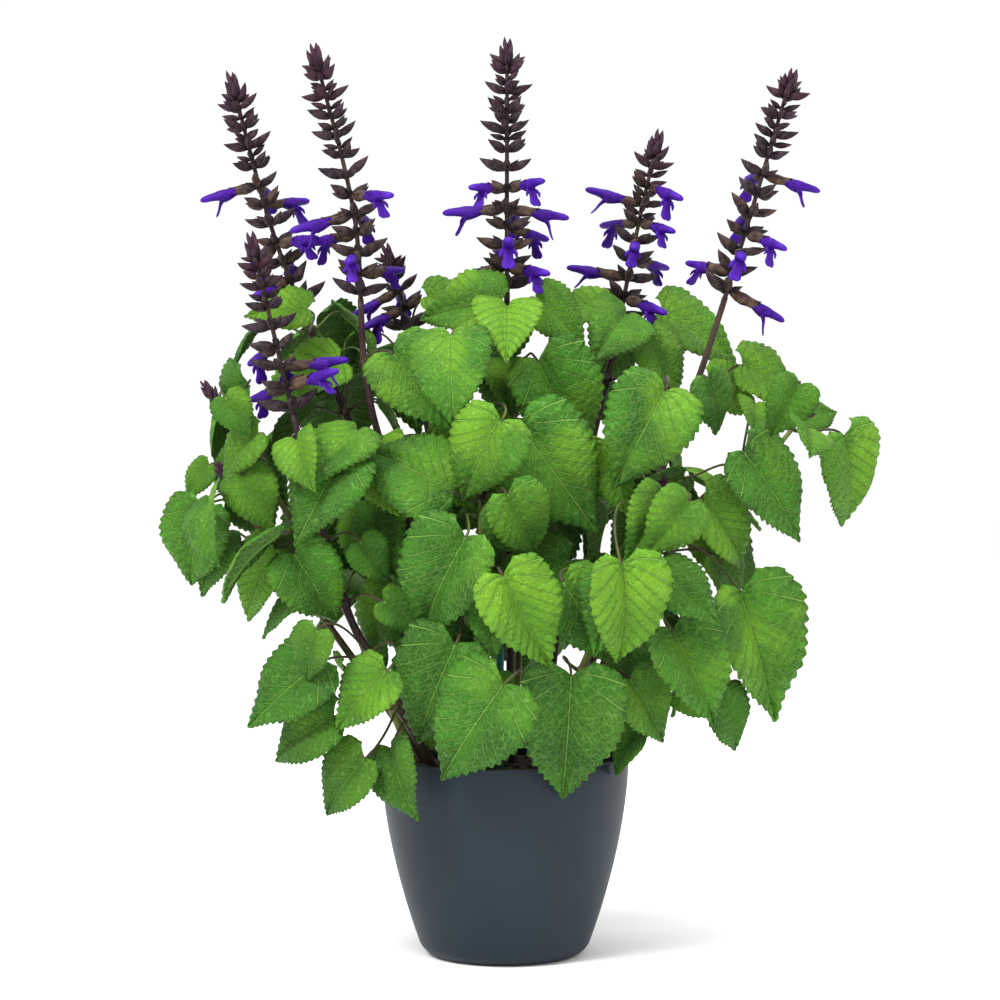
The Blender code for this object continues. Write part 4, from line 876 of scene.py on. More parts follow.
def soil_finish():
    """Dark moist crumbs with a little moss and pale grit."""
    finish, tree = new_material("potting_mix")
    crumbs = noise_value(tree, 500.0, 4.0)
    moss = noise_value(tree, 45.0, 3.0)
    grit = noise_value(tree, 320.0, 1.0)
    colour = blend_colour(tree, span(tree, crumbs, 0.3, 0.7), *SOIL_TONES)
    colour = blend_colour(tree, span(tree, moss, 0.52, 0.66, 0, 0.7), colour, MOSS_GREEN)
    colour = blend_colour(tree, span(tree, grit, 0.68, 0.74, 0, 0.8), colour, GRIT_GREY)
    finish_shader(tree, colour, span(tree, crumbs, 0.3, 0.7, 0.80, 0.96), crumbs, 0.9, 0.0015)
    return finish


def stake_finish():
    """Dark green coating with a dull shine and small scuffs."""
    finish, tree = new_material("stake_coating")
    scuff = noise_value(tree, 180.0, 4.0)
    colour = blend_colour(tree, span(tree, scuff, 0.35, 0.7), *STAKE_TONES)
    finish_shader(tree, colour, span(tree, scuff, 0.3, 0.7, 0.34, 0.55), scuff, 0.3, 0.0003)
    return finish


# ---------------------------------------------------------------- mesh helpers

def mesh_object(name, points, faces, finishes):
    mesh = bpy.data.meshes.new(name)
    mesh.from_pydata([tuple(p) for p in points], [], faces)
    for finish in finishes:
        mesh.materials.append(finish)
    thing = bpy.data.objects.new(name, mesh)
    bpy.context.scene.collection.objects.link(thing)
    return thing


def deselect_all():
    for thing in bpy.context.selected_objects:
        thing.select_set(False)


def make_active(thing):
    deselect_all()
    thing.select_set(True)
    bpy.context.view_layer.objects.active = thing


def join_pieces(name, pieces):
    """Several objects made one, under the first one's mesh."""
    deselect_all()
    for piece in pieces:
        piece.select_set(True)
    bpy.context.view_layer.objects.active = pieces[0]
    if len(pieces) > 1:
        bpy.ops.object.join()
    pieces[0].name = name
    pieces[0].data.name = name
    return pieces[0]


def set_attribute(mesh, name, values):
    layer = mesh.attributes.get(name) or mesh.attributes.new(name, "FLOAT", "POINT")
    layer.data.foreach_set("value", np.asarray(values, np.float32))


class Shape:
    """Points, faces, material numbers and painted values that are gathered into one mesh."""

    def __init__(self):
        self.points, self.faces, self.finish, self.paint = [], [], [], {}

    def add(self, points, faces, finish=0, **paint):
        start = len(self.points)
        self.points += [tuple(p) for p in points]
        self.faces += [tuple(i + start for i in face) for face in faces]
        self.finish += [finish] * len(faces)
        for name in set(self.paint) | set(paint):
            values = self.paint.setdefault(name, [0.0] * start)
            given = paint.get(name, 0.0)
            values += list(given) if hasattr(given, "__len__") else [given] * len(points)

    def build(self, name, finishes):
        thing = mesh_object(name, self.points, self.faces, finishes)
        thing.data.polygons.foreach_set("material_index", self.finish)
        for key, values in self.paint.items():
            set_attribute(thing.data, key, values)
        thing.data.polygons.foreach_set("use_smooth", [True] * len(self.faces))
        thing.data.update()
        return thing


def loft(rings):
    """A closed skin over rings of equal counts of points, with its two ends filled."""
    count = len(rings[0])
    points = [p for ring in rings for p in ring]
    faces = []
    for k in range(len(rings) - 1):
        for i in range(count):
            j = (i + 1) % count
            faces.append((k * count + i, k * count + j, (k + 1) * count + j, (k + 1) * count + i))
    faces.append(tuple(range(count))[::-1])
    faces.append(tuple(range(len(points) - count, len(points))))
    return points, faces


def oval(middle, side, lift, wide, tall, count=10, power=1.0):
    """A ring of points round a middle; a power under 1 squares it off."""
    ring = []
    for k in range(count):
        angle = 2 * math.pi * (k + 0.5) / count
        c, s = math.cos(angle), math.sin(angle)
        ring.append(middle + side * (wide * math.copysign(abs(c) ** power, c))
                    + lift * (tall * math.copysign(abs(s) ** power, s)))
    return ring


# ---------------------------------------------------------------- the leaf

VEIN_STEP = 0.128            # between side veins, in blade lengths
BLADE_THICKNESS = 0.0005
TOOTH_DEPTH = 0.074          # in half widths of the blade
GROOVE_DEPTH = 0.010         # of the midrib, in blade lengths
STALK_PARTS = 14
MIDRIB_PARTS = 12
SMALL_LEAF = 0.06            # blades up to this length get the coarser sheet

# The places of the finishes in the list that leaves, stems and shoots share.
UNDER_SIDE, STALK, OLD_STEM, YOUNG_STEM, BUD = range(1, 6)


def smooth_rows(share):
    """Midrib place, edge place and half width of a blade at a share of its rows, on a smooth curve."""
    rows = [(-0.02, -0.14, 0.20)] + BLADE_ROWS + [(1.0, 1.0, 0.03), (1.05, 1.05, -0.1)]
    marks = [-0.06, 0.0, 0.14, 0.34, 0.58, 0.80, 1.0, 1.06]
    k = max(i for i in range(1, len(marks) - 2) if marks[i] <= share or i == 1)
    gap = marks[k + 1] - marks[k]
    t = (share - marks[k]) / gap
    out = []
    for axis in range(3):
        a, b, c, d = (rows[i][axis] for i in range(k - 1, k + 3))
        m1 = (c - a) / (marks[k + 1] - marks[k - 1]) * gap
        m2 = (d - b) / (marks[k + 2] - marks[k]) * gap
        out.append((2 * t ** 3 - 3 * t ** 2 + 1) * b + (t ** 3 - 2 * t ** 2 + t) * m1
                   + (3 * t ** 2 - 2 * t ** 3) * c + (t ** 3 - t ** 2) * m2)
    return out


def even_rows(count):
    """Shares of the blade's rows that cut its rim into equal steps."""
    shares = [k / 400 for k in range(401)]
    walked = [0.0]
    for before, after in zip(shares, shares[1:]):
        _, u0, w0 = smooth_rows(before)
        _, u1, w1 = smooth_rows(after)
        walked.append(walked[-1] + math.hypot(u1 - u0, (w1 - w0) * LEAF_WIDTH_SHARE / 2))
    return np.interp([walked[-1] * k / count for k in range(count + 1)], walked, shares)


def vein_place(x, y):
    """Which side vein a spot on the blade lies at: whole numbers are on a vein."""
    x = abs(x)
    straight = y - 1.30 * x + 0.85 * x * x
    if straight >= 0:
        return straight / VEIN_STEP
    turn = math.atan2(x, y + 1e-6) - math.atan2(1.0, 1.30)
    return straight / VEIN_STEP * 0.30 - max(turn, 0) * 1.35


def make_sheet(rows, columns, teeth):
    """One flat blade: a grid whose columns follow the midrib and whose rim is cut into rounded teeth."""
    deselect_all()
    bpy.ops.mesh.primitive_grid_add(x_subdivisions=columns, y_subdivisions=rows, size=2)
    sheet = bpy.context.object
    sheet.name = "blade_sheet"
    shares = even_rows(rows)
    count = len(sheet.data.vertices)
    blade, lift, rib, inward = np.zeros((count, 2)), np.zeros(count), np.zeros(count), np.zeros(count)
    for i, vertex in enumerate(sheet.data.vertices):
        row = round((vertex.co.y + 1) / 2 * rows)
        reach = abs(vertex.co.x)
        middle, edge, width = smooth_rows(shares[row])
        width = max(width, 0.0) * (1 - 0.32 * min(1, max(0, (edge - 0.50) / 0.42)) ** 1.5)
        phase = row / rows * teeth
        tooth = phase % 1.0
        cut = math.sin(math.pi * min(tooth * 1.25, 1.0) ** 1.3) ** 0.7 - 0.6 if tooth < 0.8 else -0.6
        depth = TOOTH_DEPTH * min(1, width * 2.2) * (0.8 + 0.35 * math.sin(3.1 * int(phase)))
        rim = max(0.0, (reach - 0.70) / 0.30) ** 1.4
        v = (reach * width + depth * cut * rim) * math.copysign(1, vertex.co.x)
        sweep = 0.62 + 0.63 * min(1, shares[row] / 0.16)
        u = middle + (edge - middle) * reach ** sweep + 0.016 * cut * rim
        x = v * LEAF_WIDTH_SHARE / 2
        place_on_rib = vein_place(x, u)
        between = abs((place_on_rib % 1.0) - 0.5) * 2
        quilt = 0.0270 * (1 - between ** 2.4) * min(1, reach * 3.5) * (1 - 0.5 * reach ** 3)
        groove = -GROOVE_DEPTH * math.exp(-(x / 0.022) ** 2)
        pucker = 0.0050 * noise.noise(Vector((x * 30, u * 30, 3.0))) * min(1, reach * 5)
        arch = 0.034 * math.sin(math.pi * min(reach, 1)) * min(1, width * 1.4)
        blade[i] = (u, v)
        lift[i] = quilt + groove + pucker + arch
        rib[i] = place_on_rib
        inward[i] = 1 - reach
    sheet.data.uv_layers[0].name = "blade"
    layer = sheet.data.uv_layers["blade"]
    for loop, spot in zip(sheet.data.loops, layer.data):
        u, v = blade[loop.vertex_index]
        spot.uv = (0.5 + v * LEAF_WIDTH_SHARE / 2, (u + 0.15) / 1.2)
    set_attribute(sheet.data, "rib", rib)
    set_attribute(sheet.data, "across", np.abs(blade[:, 1]) * LEAF_WIDTH_SHARE / 2)
    set_attribute(sheet.data, "along", blade[:, 0])
    return sheet, blade, lift, inward


def lay_blade(leaf, blade, lift, inward, dice):
    """The places of a sheet's points once it hangs as the given leaf does."""
    u, v = blade[:, 0], blade[:, 1]
    bend = leaf.curl * u
    reach = leaf.length / leaf.curl
    run, normal, across = (np.array(d) for d in (leaf.run, leaf.normal, leaf.across))
    spine = (np.array(leaf.base) + np.outer(reach * np.sin(bend), run)
             - np.outer(reach * (1 - np.cos(bend)), normal))
    upright = np.outer(np.cos(bend), normal) + np.outer(np.sin(bend), run)
    spread = leaf.width / 2
    wave = dice.uniform(0.010, 0.026) * np.sin(u * dice.uniform(9, 15) + np.sign(v) * dice.uniform(0.3, 1.5)
                                               + dice.uniform(0, 6)) * (1 - inward) ** 2
    droop = -dice.uniform(0.00, 0.05) * (1 - inward) ** 3
    height = (lift + wave + droop) * leaf.length
    return (spine + np.outer(spread * v * math.cos(leaf.fold), across)
            + upright * (spread * np.abs(v) * math.sin(leaf.fold) + height)[:, None])


def stalk_rings(leaf, sides=8):
    """The leaf stalk from the stem, on under the blade as its midrib."""
    rings = []
    side = leaf.across
    steps = [k / STALK_PARTS for k in range(STALK_PARTS + 1)]
    for t in reversed(steps):
        middle = leaf.stalk(t)
        along = (leaf.stalk(min(t + 0.02, 1)) - leaf.stalk(t - 0.02)).normalized()
        side = (side - along * side.dot(along)).normalized()
        lift = side.cross(along)
        half = LEAF_STALK / 2 * (1.0 + 0.9 * (1 - t) ** 6 + 0.10 * t)
        rings.insert(0, oval(middle, side, lift, half * 1.06, half * 0.94, sides))
    for k in range(1, MIDRIB_PARTS + 1):
        u = k / MIDRIB_PARTS * 0.93
        half = LEAF_STALK / 2 * (0.72 - 0.60 * u)
        middle = leaf.point(u, 0, -GROOVE_DEPTH * leaf.length - BLADE_THICKNESS - half * 0.7)
        ahead = (leaf.point(u + 0.02, 0) - leaf.point(u - 0.02, 0)).normalized()
        lift = leaf.across.cross(ahead)
        rings.append(oval(middle, leaf.across, lift, half, half, sides))
    return rings


def leaf_meshes(name, leaves, sheets, finishes):
    """Blades of one node as thin closed sheets, and their stalks."""
    pieces = []
    stalks = Shape()
    for hand in sorted(leaves, key=str):
        leaf = leaves[hand]
        dice = random.Random(name + str(hand) + "look")
        mould, blade, lift, inward = sheets[0] if leaf.length > SMALL_LEAF else sheets[1]
        copy = mould.copy()
        copy.data = mould.data.copy()
        bpy.context.scene.collection.objects.link(copy)
        spots = lay_blade(leaf, blade, lift, inward, dice)
        copy.data.vertices.foreach_set("co", spots.astype(np.float32).ravel())
        share = min(1.0, leaf.length / LEAF_LENGTH)
        height = (leaf.base.z - SOIL_TOP) / (PLANT_TOP - SOIL_TOP)
        outside = min(1.0, Vector((leaf.base.x, leaf.base.y)).length / 0.2)
        # The tone: random, higher on small young leaves, and painted lighter on leaves higher up and further
        # out, so that low, inner leaves get painted shade.
        tone = dice.gauss(0.36, 0.19) + 0.75 * (height - 0.28) + 0.25 * (1 - share) + 0.12 * (outside - 0.7)
        tone = min(1.0, max(0.0, tone))
        set_attribute(copy.data, "tone", np.full(len(copy.data.vertices), tone))
        pieces.append(copy)
        rings = stalk_rings(leaf)
        stalks.add(*loft(rings[:STALK_PARTS + 1]), STALK)
        stalks.add(*loft(rings[STALK_PARTS:]), UNDER_SIDE)
    whole = join_pieces(name + "_blades", pieces)
    make_active(whole)
    bpy.ops.object.mode_set(mode="EDIT")
    bpy.ops.mesh.select_all(action="SELECT")
    bpy.ops.mesh.remove_doubles(threshold=0.00001)
    bpy.ops.object.mode_set(mode="OBJECT")
    whole.data.materials.clear()
    for finish in finishes:
        whole.data.materials.append(finish)
    thick = whole.modifiers.new("thickness", "SOLIDIFY")
    thick.thickness = BLADE_THICKNESS
    thick.offset = -1.0
    thick.material_offset = UNDER_SIDE
    thick.material_offset_rim = 0
    bpy.ops.object.modifier_apply(modifier=thick.name)
    bpy.ops.object.shade_smooth()
    return [whole, stalks.build(name + "_stalks", finishes)]


# ---------------------------------------------------------------- stems

STEM_SIDES = 12
JOINT_SWELL = 0.28           # how much thicker a stem gets at a leaf joint
BAND_SWELL = 0.0016          # how far the band of a joint stands out


def stem_rings(stem, low, high, joints, step=9.0, slim=1.0):
    """Rounded square rings up a stem between two plan heights, swollen at the leaf joints."""
    rings = []
    count = max(2, round((high - low) / step))
    for k in range(count + 1):
        height = low + (high - low) * k / count
        if height < PLAN_SOIL + 5:
            foot = on_stem(stem, PLAN_SOIL)
            middle = foot + UP * (height - PLAN_SOIL) * TALL
            side, other = Vector((1, 0, 0)), Vector((0, 1, 0))
            half = STEM_THICKNESS / 2
        else:
            middle, _, side, other, half = stem_frame(stem, height)
        near = min([(on_stem(stem, j) - middle).length for j in joints], default=1)
        half *= 1 + JOINT_SWELL * math.exp(-(near / JOINT_HEIGHT) ** 2)
        rings.append(oval(middle, side, other, half * 1.1 * slim, half * 1.1 * slim, STEM_SIDES, 0.72))
    return rings


def joint_ring(stem, height):
    """The swollen band where a leaf pair leaves the stem."""
    middle, along, side, other, half = stem_frame(stem, height)
    rings = []
    for k in range(7):
        t = k / 6 * 2 - 1
        swell = half + BAND_SWELL * math.sqrt(max(0.0, 1 - t * t)) + 0.0003
        rings.append(oval(middle + along * t * NODE_HALF, side, other, swell, swell, STEM_SIDES, 0.8))
    return loft(rings)


# ---------------------------------------------------------------- flowers

FIRST_BUD_SIZE = 1.22        # of the lowest ring's buds, against CALYX_LENGTH
BUD_SIZE_LOSS = 0.30         # from the lowest ring to the last
TURN_PER_BUD = 2.39996       # radians between one bud of a head and the next, as in a seed head
TIP_HEAD = 0.0175            # size of the bud head on a spike


def calyx_shape(shape, start, aim, lift, length, ripe, blush, open_mouth, finish=1):
    """A ribbed bell of two pointed lips; it stays shut on a bud and gapes round an open flower."""
    side = lift.cross(aim).normalized()
    lift = aim.cross(side).normalized()
    count = 8
    profile = [(0.0, 0.05, 0.0), (0.12, 0.110, 0.0), (0.30, 0.180, 0.0), (0.52, 0.205, 0.0),
               (0.76, 0.165, 0.01)]
    if open_mouth:
        profile += [(0.92, 0.165, 0.02), (1.0, 0.180, 0.03)]
    else:
        profile += [(0.94, 0.082, 0.03), (1.10, 0.012, 0.07)]
    points, around = [], []
    for number, (t, r, rise) in enumerate(profile):
        for k in range(count):
            angle = 2 * math.pi * (k + 0.5) / count
            ridge = 1 + 0.10 * (1 if k % 2 else -1)
            stretch = 0.0
            if number >= len(profile) - 2:
                stretch = 0.10 * abs(math.sin(angle)) * (1.0 if math.sin(angle) > 0 else 0.6)
            flat = 0.80 if number >= len(profile) - 2 and not open_mouth else 0.94
            points.append(start + aim * length * (t + stretch)
                          + side * length * r * ridge * math.cos(angle) * flat
                          + lift * length * (r * ridge * math.sin(angle) + rise))
            around.append(k * 0.5)
    faces = []
    for number in range(len(profile) - 1):
        low, high = number * count, (number + 1) * count
        for k in range(count):
            j = (k + 1) % count
            faces.append((low + k, low + j, high + j, high + k))
    faces.append(tuple(range(count))[::-1])
    if open_mouth:
        # The mouth turns in and closes a little way down the throat.
        inner = len(points)
        for k in range(count):
            angle = 2 * math.pi * (k + 0.5) / count
            points.append(start + aim * length * 0.80 + side * length * 0.12 * math.cos(angle)
                          + lift * length * (0.12 * math.sin(angle) + 0.03))
            around.append(k * 0.5)
        rim = (len(profile) - 1) * count
        for k in range(count):
            j = (k + 1) % count
            faces.append((rim + k, rim + j, inner + j, inner + k))
        faces.append(tuple(range(inner, inner + count)))
    else:
        last = (len(profile) - 1) * count
        faces.append(tuple(range(last, last + count)))
    shape.add(points, faces, finish, ripe=ripe, blush=blush, around=around)


def petals_shape(shape, start, aim, lift, length, dice, finish=2):
    """The flower: a tube that widens, a long blunt hood above, and a hanging lobed lip below."""
    side = lift.cross(aim).normalized()
    lift = aim.cross(side).normalized()
    sway = dice.uniform(-0.05, 0.05)
    count = 10

    def spot(forward, up, across=0.0):
        return start + (aim * forward + lift * up + side * (across + sway * forward)) * length

    hood = [(-0.22, 0.0, 0.080, 0.085), (0.02, 0.005, 0.120, 0.130), (0.20, 0.005, 0.155, 0.170),
            (0.36, 0.015, 0.175, 0.195), (0.46, 0.055, 0.165, 0.165), (0.56, 0.090, 0.150, 0.130),
            (0.72, 0.120, 0.145, 0.112), (0.88, 0.140, 0.140, 0.100), (0.98, 0.150, 0.105, 0.072),
            (1.03, 0.155, 0.040, 0.028)]
    rings, reach = [], []
    for forward, up, wide, tall in hood:
        tilt = 0.20 if forward > 0.5 else 0.05
        ahead = (aim + lift * tilt).normalized()
        rings.append(oval(spot(forward, up), side, side.cross(-ahead), wide * length, tall * length, count))
        reach += [max(0.0, forward)] * count
    points, faces = loft(rings)
    shape.add(points, faces, finish, reach=reach)
    # The lower lip: out of the throat, over and down, widening into a notched lobe.
    drop = dice.uniform(0.85, 1.15)
    path = [(0.22, -0.03, 0.120, 0.080), (0.38, -0.080, 0.140, 0.070), (0.50, -0.150, 0.150, 0.056),
            (0.57, -0.23, 0.135, 0.045), (0.62, -0.31, 0.150, 0.038), (0.67, -0.38, 0.185, 0.032),
            (0.72, -0.44, 0.195, 0.028), (0.77, -0.49, 0.150, 0.024), (0.80, -0.52, 0.060, 0.012)]
    rings, reach = [], []
    for k, (forward, up, wide, tall) in enumerate(path):
        a, b = path[max(k - 1, 0)], path[min(k + 1, len(path) - 1)]
        ahead = (aim * (b[0] - a[0]) + lift * (b[1] - a[1])).normalized()
        notch = 0.05 if k >= len(path) - 2 else 0.0
        middle = spot(forward, up * drop)
        ring = oval(middle, side, side.cross(-ahead), wide * length, tall * length, count)
        depths = [math.exp(-((p - middle).dot(side) / (0.04 * length)) ** 2) for p in ring]
        rings.append([p - ahead * (notch * length * depth) for p, depth in zip(ring, depths)])
        reach += [0.5 + k / 16] * count
    points, faces = loft(rings)
    shape.add(points, faces, finish, reach=reach)
    for hand in (-1, 1):
        lobe = [(0.38, -0.04, 0.06 * hand, 0.06), (0.50, -0.10, 0.14 * hand, 0.070),
                (0.56, -0.18, 0.20 * hand, 0.062), (0.58, -0.26, 0.23 * hand, 0.028)]
        rings = [oval(spot(forward, up * drop, across), side, lift, wide * length, 0.024 * length, 6)
                 for forward, up, across, wide in lobe]
        points, faces = loft(rings)
        shape.add(points, faces, finish, reach=0.8)


def bud_head(shape, stem_end, along, side, size, dice, finish=1):
    """The tight head of young buds at the end of a spike or shoot."""
    other = along.cross(side)
    count = 10
    for k in range(count):
        share = k / (count - 1)
        angle = k * TURN_PER_BUD
        out = side * math.cos(angle) + other * math.sin(angle)
        start = stem_end - along * size * (1.05 - 1.0 * share) + out * size * 0.05
        aim = (along * (0.95 + 0.5 * share) + out * (0.66 - 0.42 * share)).normalized()
        length = size * (0.92 - 0.26 * share) * dice.uniform(0.9, 1.1)
        calyx_shape(shape, start, aim, along, length, 0.0, 0.25 + 0.35 * share, False, finish)


def spike_shape(spike, finishes):
    stem, start, _ = SPIKES[spike]
    dice = random.Random(spike)
    top = STEMS[stem][-1][2]
    shape = Shape()
    rings = stem_rings(stem, start - 6, top - 2, [], 7.0, 0.82)
    shape.add(*loft(rings), 0)
    whorls = spike_whorls(spike)
    flowers = open_flowers(spike)
    for number, (_, share) in enumerate(whorls):
        middle, along, outs, half = whorl_faces(spike, number)
        size = FIRST_BUD_SIZE - BUD_SIZE_LOSS * share
        ripe_here = any(ring == number for ring, _ in flowers)
        for face, out in enumerate(outs):
            is_open = (number, face) in flowers
            swing = out + along.cross(out) * dice.uniform(-0.22, 0.22)
            aim = flower_aim(swing.normalized(), along, is_open) - along * dice.uniform(0.08, 0.38)
            aim = aim.normalized()
            root = middle + out * half * 0.6 + along * dice.uniform(-0.001, 0.001)
            length = CALYX_LENGTH * size * (OPEN_CALYX_SHARE if is_open else dice.uniform(0.92, 1.15))
            if is_open:
                ripe = dice.uniform(0.75, 1.0)
            else:
                ripe = dice.uniform(0.1, 0.6) * ripe_here + dice.uniform(0, 0.15)
            calyx_shape(shape, root, aim, along, length, ripe, max(0.0, share - 0.7) * 1.6, is_open)
            if is_open:
                petals_shape(shape, root + aim * length * 0.88, (aim - along * 0.16).normalized(), along,
                             PETAL_LENGTH * dice.uniform(0.94, 1.08), dice)
        lifts = [0.0] if share < 0.62 else [0.0, WHORL_PITCH * 0.5]
        for lift in lifts:
            for pair in range(4):
                out = (outs[pair] + outs[(pair + 1) % 4]).normalized()
                aim = (out + along * dice.uniform(0.20, 0.60)).normalized()
                root = middle + out * half * 0.5 + along * (lift + dice.uniform(-0.002, 0.002))
                length = CALYX_LENGTH * size * dice.uniform(0.62, 0.90)
                calyx_shape(shape, root, aim, along, length, dice.uniform(0, 0.3),
                            max(0.0, share - 0.7), False)
    middle, along, side, _, _ = stem_frame(stem, top)
    bud_head(shape, middle + along * 0.004, along, side, TIP_HEAD, dice)
    return shape.build(spike, finishes)


# ---------------------------------------------------------------- pot, soil and stake

LIP_RISE = 0.0016            # height of the rounded part of the lip
WALL_STEPS = 44
POT_SIDES = 128
SOIL_BOTTOM = 0.02           # of the root ball
SOIL_GAP = 0.001             # between the root ball and the pot
CRUMBS = 900
STAKE_SIDES = 16


def make_pot(finish):
    """Turned up from a disc: the foot, the curved wall, the rounded lip, and down the inside."""
    profile = [(pot_radius(0) - POT_CORNER - 0.002, 0.0), (pot_radius(0) - POT_CORNER + 0.001, 0.0)]
    for degrees in range(8, 90, 8):
        angle = math.radians(degrees)
        height = POT_CORNER * (1 - math.cos(angle))
        profile.append((pot_radius(height) - POT_CORNER * (1 - math.sin(angle)), height))
    rise = [POT_CORNER + (POT_HEIGHT - LIP_RISE - POT_CORNER) * k / WALL_STEPS
            for k in range(WALL_STEPS + 1)]
    profile += [(pot_radius(h), h) for h in rise]
    for degrees in range(15, 180, 15):
        angle = math.radians(degrees)
        profile.append((POT_RADIUS - POT_WALL / 2 + POT_WALL / 2 * math.cos(angle),
                        POT_HEIGHT - LIP_RISE + LIP_RISE * math.sin(angle)))
    profile += [(pot_radius(h) - POT_WALL, h) for h in reversed(rise)]
    profile.append((pot_radius(POT_CORNER) - POT_WALL - 0.006, POT_WALL + 0.0005))
    deselect_all()
    bpy.ops.mesh.primitive_circle_add(vertices=POT_SIDES, radius=profile[0][0], fill_type="NGON",
                                      location=(0, 0, 0))
    pot = bpy.context.object
    bpy.ops.object.mode_set(mode="EDIT")
    bpy.ops.mesh.select_all(action="SELECT")
    for (radius, height), (wider, higher) in zip(profile, profile[1:]):
        bpy.ops.mesh.extrude_region_move(TRANSFORM_OT_translate={"value": (0, 0, higher - height)})
        share = wider / radius
        bpy.ops.transform.resize(value=(share, share, 1), center_override=(0, 0, 0))
    bpy.ops.mesh.select_all(action="SELECT")
    bpy.ops.mesh.normals_make_consistent(inside=False)
    bpy.ops.object.mode_set(mode="OBJECT")
    pot.data.materials.append(finish)
    bpy.ops.object.shade_smooth_by_angle(angle=math.radians(50))
    pot.name = "pot_wall"
    return pot


def make_soil(finish):
    """A lumpy top with loose crumbs, and the plain root ball under it."""
    dice = random.Random("soil")
    levels = [SOIL_BOTTOM + (SOIL_TOP - SOIL_BOTTOM) * k / 6 for k in range(1, 7)]
    profile = [(0, SOIL_BOTTOM), (pot_radius(0.03) - POT_WALL - 0.002, SOIL_BOTTOM)]
    profile += [(pot_radius(level) - POT_WALL - SOIL_GAP, level) for level in levels]
    edge = pot_radius(SOIL_TOP) - POT_WALL - SOIL_GAP
    profile += [(edge * (1 - k / 34), SOIL_TOP) for k in range(1, 34)] + [(0, SOIL_TOP)]
    points, faces = turned(profile, 96)
    lumpy = []
    for p in points:
        if p.z > SOIL_TOP - 0.0005:
            out = math.hypot(p.x, p.y) / edge
            lumps = 0.0024 * noise.noise(p * 70) + 0.0016 * noise.noise(p * 190)
            height = SOIL_TOP + SOIL_MOUND * (1 - out) + lumps * min(1, (1 - out) * 12)
            lumpy.append(Vector((p.x, p.y, height)))
        else:
            lumpy.append(p)
    shape = Shape()
    shape.add(lumpy, faces, 0)
    crumb = bmesh.new()
    bmesh.ops.create_icosphere(crumb, subdivisions=1, radius=1)
    ball = [v.co.copy() for v in crumb.verts]
    ball_faces = [tuple(v.index for v in f.verts) for f in crumb.faces]
    crumb.free()
    for _ in range(CRUMBS):
        angle, out = dice.uniform(0, 2 * math.pi), edge * 0.95 * math.sqrt(dice.random())
        size = dice.uniform(0.0007, 0.0024)
        height = SOIL_TOP + SOIL_MOUND * (1 - out / edge) + size * 0.3
        middle = Vector((out * math.cos(angle), out * math.sin(angle), height))
        squash = Vector((dice.uniform(0.6, 1.3), dice.uniform(0.6, 1.3), dice.uniform(0.5, 0.9)))
        turn = Matrix.Rotation(dice.uniform(0, 6), 3, "Z")
        shape.add([middle + turn @ Vector((p.x * squash.x, p.y * squash.y, p.z * squash.z)) * size
                   * dice.uniform(0.85, 1.15) for p in ball], ball_faces, 0)
    return shape.build("potting_mix_fill", [finish])


def make_stake(finish):
    """A ribbed rod with a domed top."""
    foot = place(*STAKE_FOOT)
    side, other = Vector((1, 0, 0)), Vector((0, 1, 0))
    rings = []
    half = STAKE_THICKNESS / 2
    count = 60
    for k in range(count + 1):
        height = -0.004 + (STAKE_HEIGHT + 0.0025) * k / count
        ridge = 1 - 0.05 * (k % 3 == 0)
        rings.append(oval(foot + UP * height, side, other, half * ridge, half * ridge, STAKE_SIDES))
    for degrees in (25, 50, 75):
        angle = math.radians(degrees)
        middle = foot + UP * (STAKE_HEIGHT - 0.0015 + 0.0014 * math.sin(angle))
        wide = half * math.cos(angle)
        rings.append(oval(middle, side, other, wide, wide, STAKE_SIDES))
    shape = Shape()
    shape.add(*loft(rings), 0)
    return shape.build("green_stake", [finish])


# ---------------------------------------------------------------- assembly

def hand_over(piece, slot, *nodes):
    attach(piece, "root")
    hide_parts(*nodes)


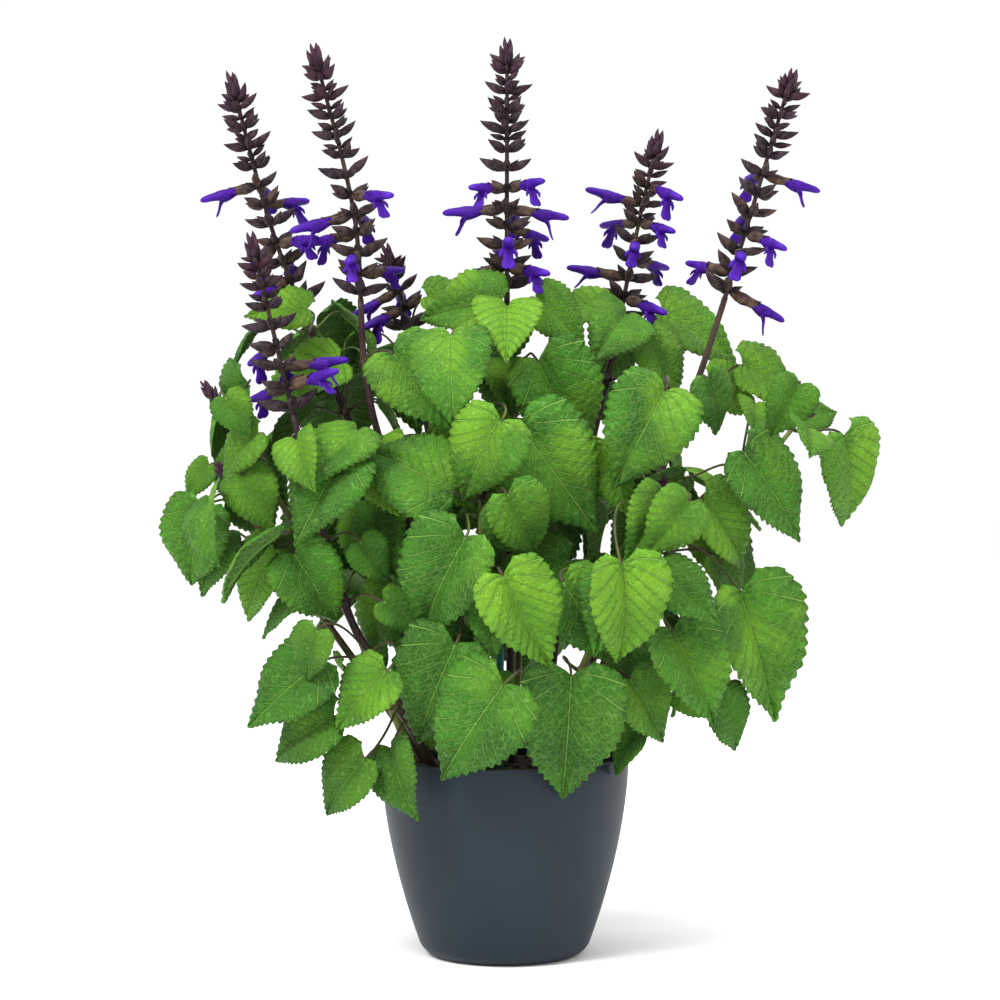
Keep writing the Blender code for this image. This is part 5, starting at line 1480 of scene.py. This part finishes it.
def build_plant():
    grown = grow_leaves()
    leaf_stalk = stem_finish("leaf_stalk_skin", *LEAF_STALK_SKIN)
    old_stem = stem_finish("stem_skin", *STEM_SKIN)
    young_stem = stem_finish("shoot_skin", *SHOOT_SKIN)
    blades = [leaf_top_finish(), leaf_under_finish(), leaf_stalk, old_stem, young_stem]
    calyx, petal = calyx_finish(), petal_finish()
    sheets = [make_sheet(76, 14, 17), make_sheet(56, 10, 13)]
    for name, stem, height, _, _ in LEAF_PAIRS:
        node = "leaves_" + name
        parts = leaf_meshes(node, grown.get(node, {}), sheets, blades)
        band = Shape()
        band.add(*joint_ring(stem, height), OLD_STEM if stem.startswith("stem") else YOUNG_STEM)
        parts.append(band.build(node + "_band", blades))
        hand_over(join_pieces("pair_" + name, parts), "leaves", node)
    for stem in STEMS:
        joints = [h for _, owner, h, _, _ in LEAF_PAIRS if owner == stem]
        spike = [start for owner, start, _ in SPIKES.values() if owner == stem]
        top = spike[0] - 5 if spike else STEMS[stem][-1][2]
        shape = Shape()
        shape.add(*loft(stem_rings(stem, PLAN_SOIL - 6, top, joints)), OLD_STEM if spike else YOUNG_STEM)
        if not spike:
            middle, along, side, _, _ = stem_frame(stem, top)
            tip = middle + along * (NODE_HALF + SHOOT_BUD_STALK)
            rings = [oval(middle + along * t, side, along.cross(side), half, half, 8)
                     for t, half in ((0, 0.0015), (NODE_HALF + SHOOT_BUD_STALK, 0.0011))]
            shape.add(*loft(rings), YOUNG_STEM)
            bud_head(shape, tip + along * SHOOT_BUD_LENGTH * 0.8, along, side, SHOOT_BUD_LENGTH * 0.8,
                     random.Random(stem + "bud"), BUD)
        parts = [shape.build(stem + "_rod", blades + [calyx])]
        if stem in grown:
            parts = leaf_meshes(stem, grown[stem], sheets, blades + [calyx]) + parts
        hand_over(join_pieces("grown_" + stem, parts), "stems" if spike else "shoots", stem)
    for spike in SPIKES:
        hand_over(spike_shape(spike, [old_stem, calyx, petal]), "flowers", spike)
    for sheet in sheets:
        bpy.data.objects.remove(sheet[0], do_unlink=True)


def light_and_camera():
    """A pale floor under a white world, broad soft lamps and a level camera in front."""
    scene = bpy.context.scene
    scene.view_settings.view_transform = "Standard"
    world = bpy.data.worlds.new("studio")
    world.use_nodes = True
    world.node_tree.nodes["Background"].inputs[0].default_value = (1, 1, 1, 1)
    world.node_tree.nodes["Background"].inputs[1].default_value = 1.04
    scene.world = world
    finish, tree = new_material("studio_paper")
    paper = noise_value(tree, 60.0, 3.0)
    colour = blend_colour(tree, paper, (0.965, 0.965, 0.965), (0.985, 0.985, 0.985))
    finish_shader(tree, colour, 0.9)
    deselect_all()
    bpy.ops.mesh.primitive_plane_add(size=30, location=(0, 0, -0.0002))
    floor = bpy.context.object
    floor.name = "studio_floor"
    floor.data.materials.append(finish)
    lamps = (("key", (-1.5, -2.0, 2.6), 1.0, 120),
             ("fill", (2.2, -2.0, 1.4), 2.0, 14),
             ("top", (0.3, -0.3, 3.0), 1.4, 62))
    for name, where, size, power in lamps:
        data = bpy.data.lights.new(name, "AREA")
        data.size, data.energy = size, power
        lamp = bpy.data.objects.new(name, data)
        scene.collection.objects.link(lamp)
        lamp.location = where
        lamp.rotation_euler = (Vector((0, 0, 0.4)) - lamp.location).to_track_quat("-Z", "Y").to_euler()
    data = bpy.data.cameras.new("view")
    data.sensor_width = 36
    data.lens = 93
    data.shift_y = -0.044
    camera = bpy.data.objects.new("view", data)
    camera.location = (-0.004, -2.2, 0.4224)
    camera.rotation_euler = (math.radians(90), 0, 0)
    scene.collection.objects.link(camera)
    scene.camera = camera


light_and_camera()
build_plant()
hand_over(make_pot(pot_finish()), "pot", "pot")
hand_over(make_soil(soil_finish()), "soil", "soil")
hand_over(make_stake(stake_finish()), "stake", "stake")
bpy.context.view_layer.update()
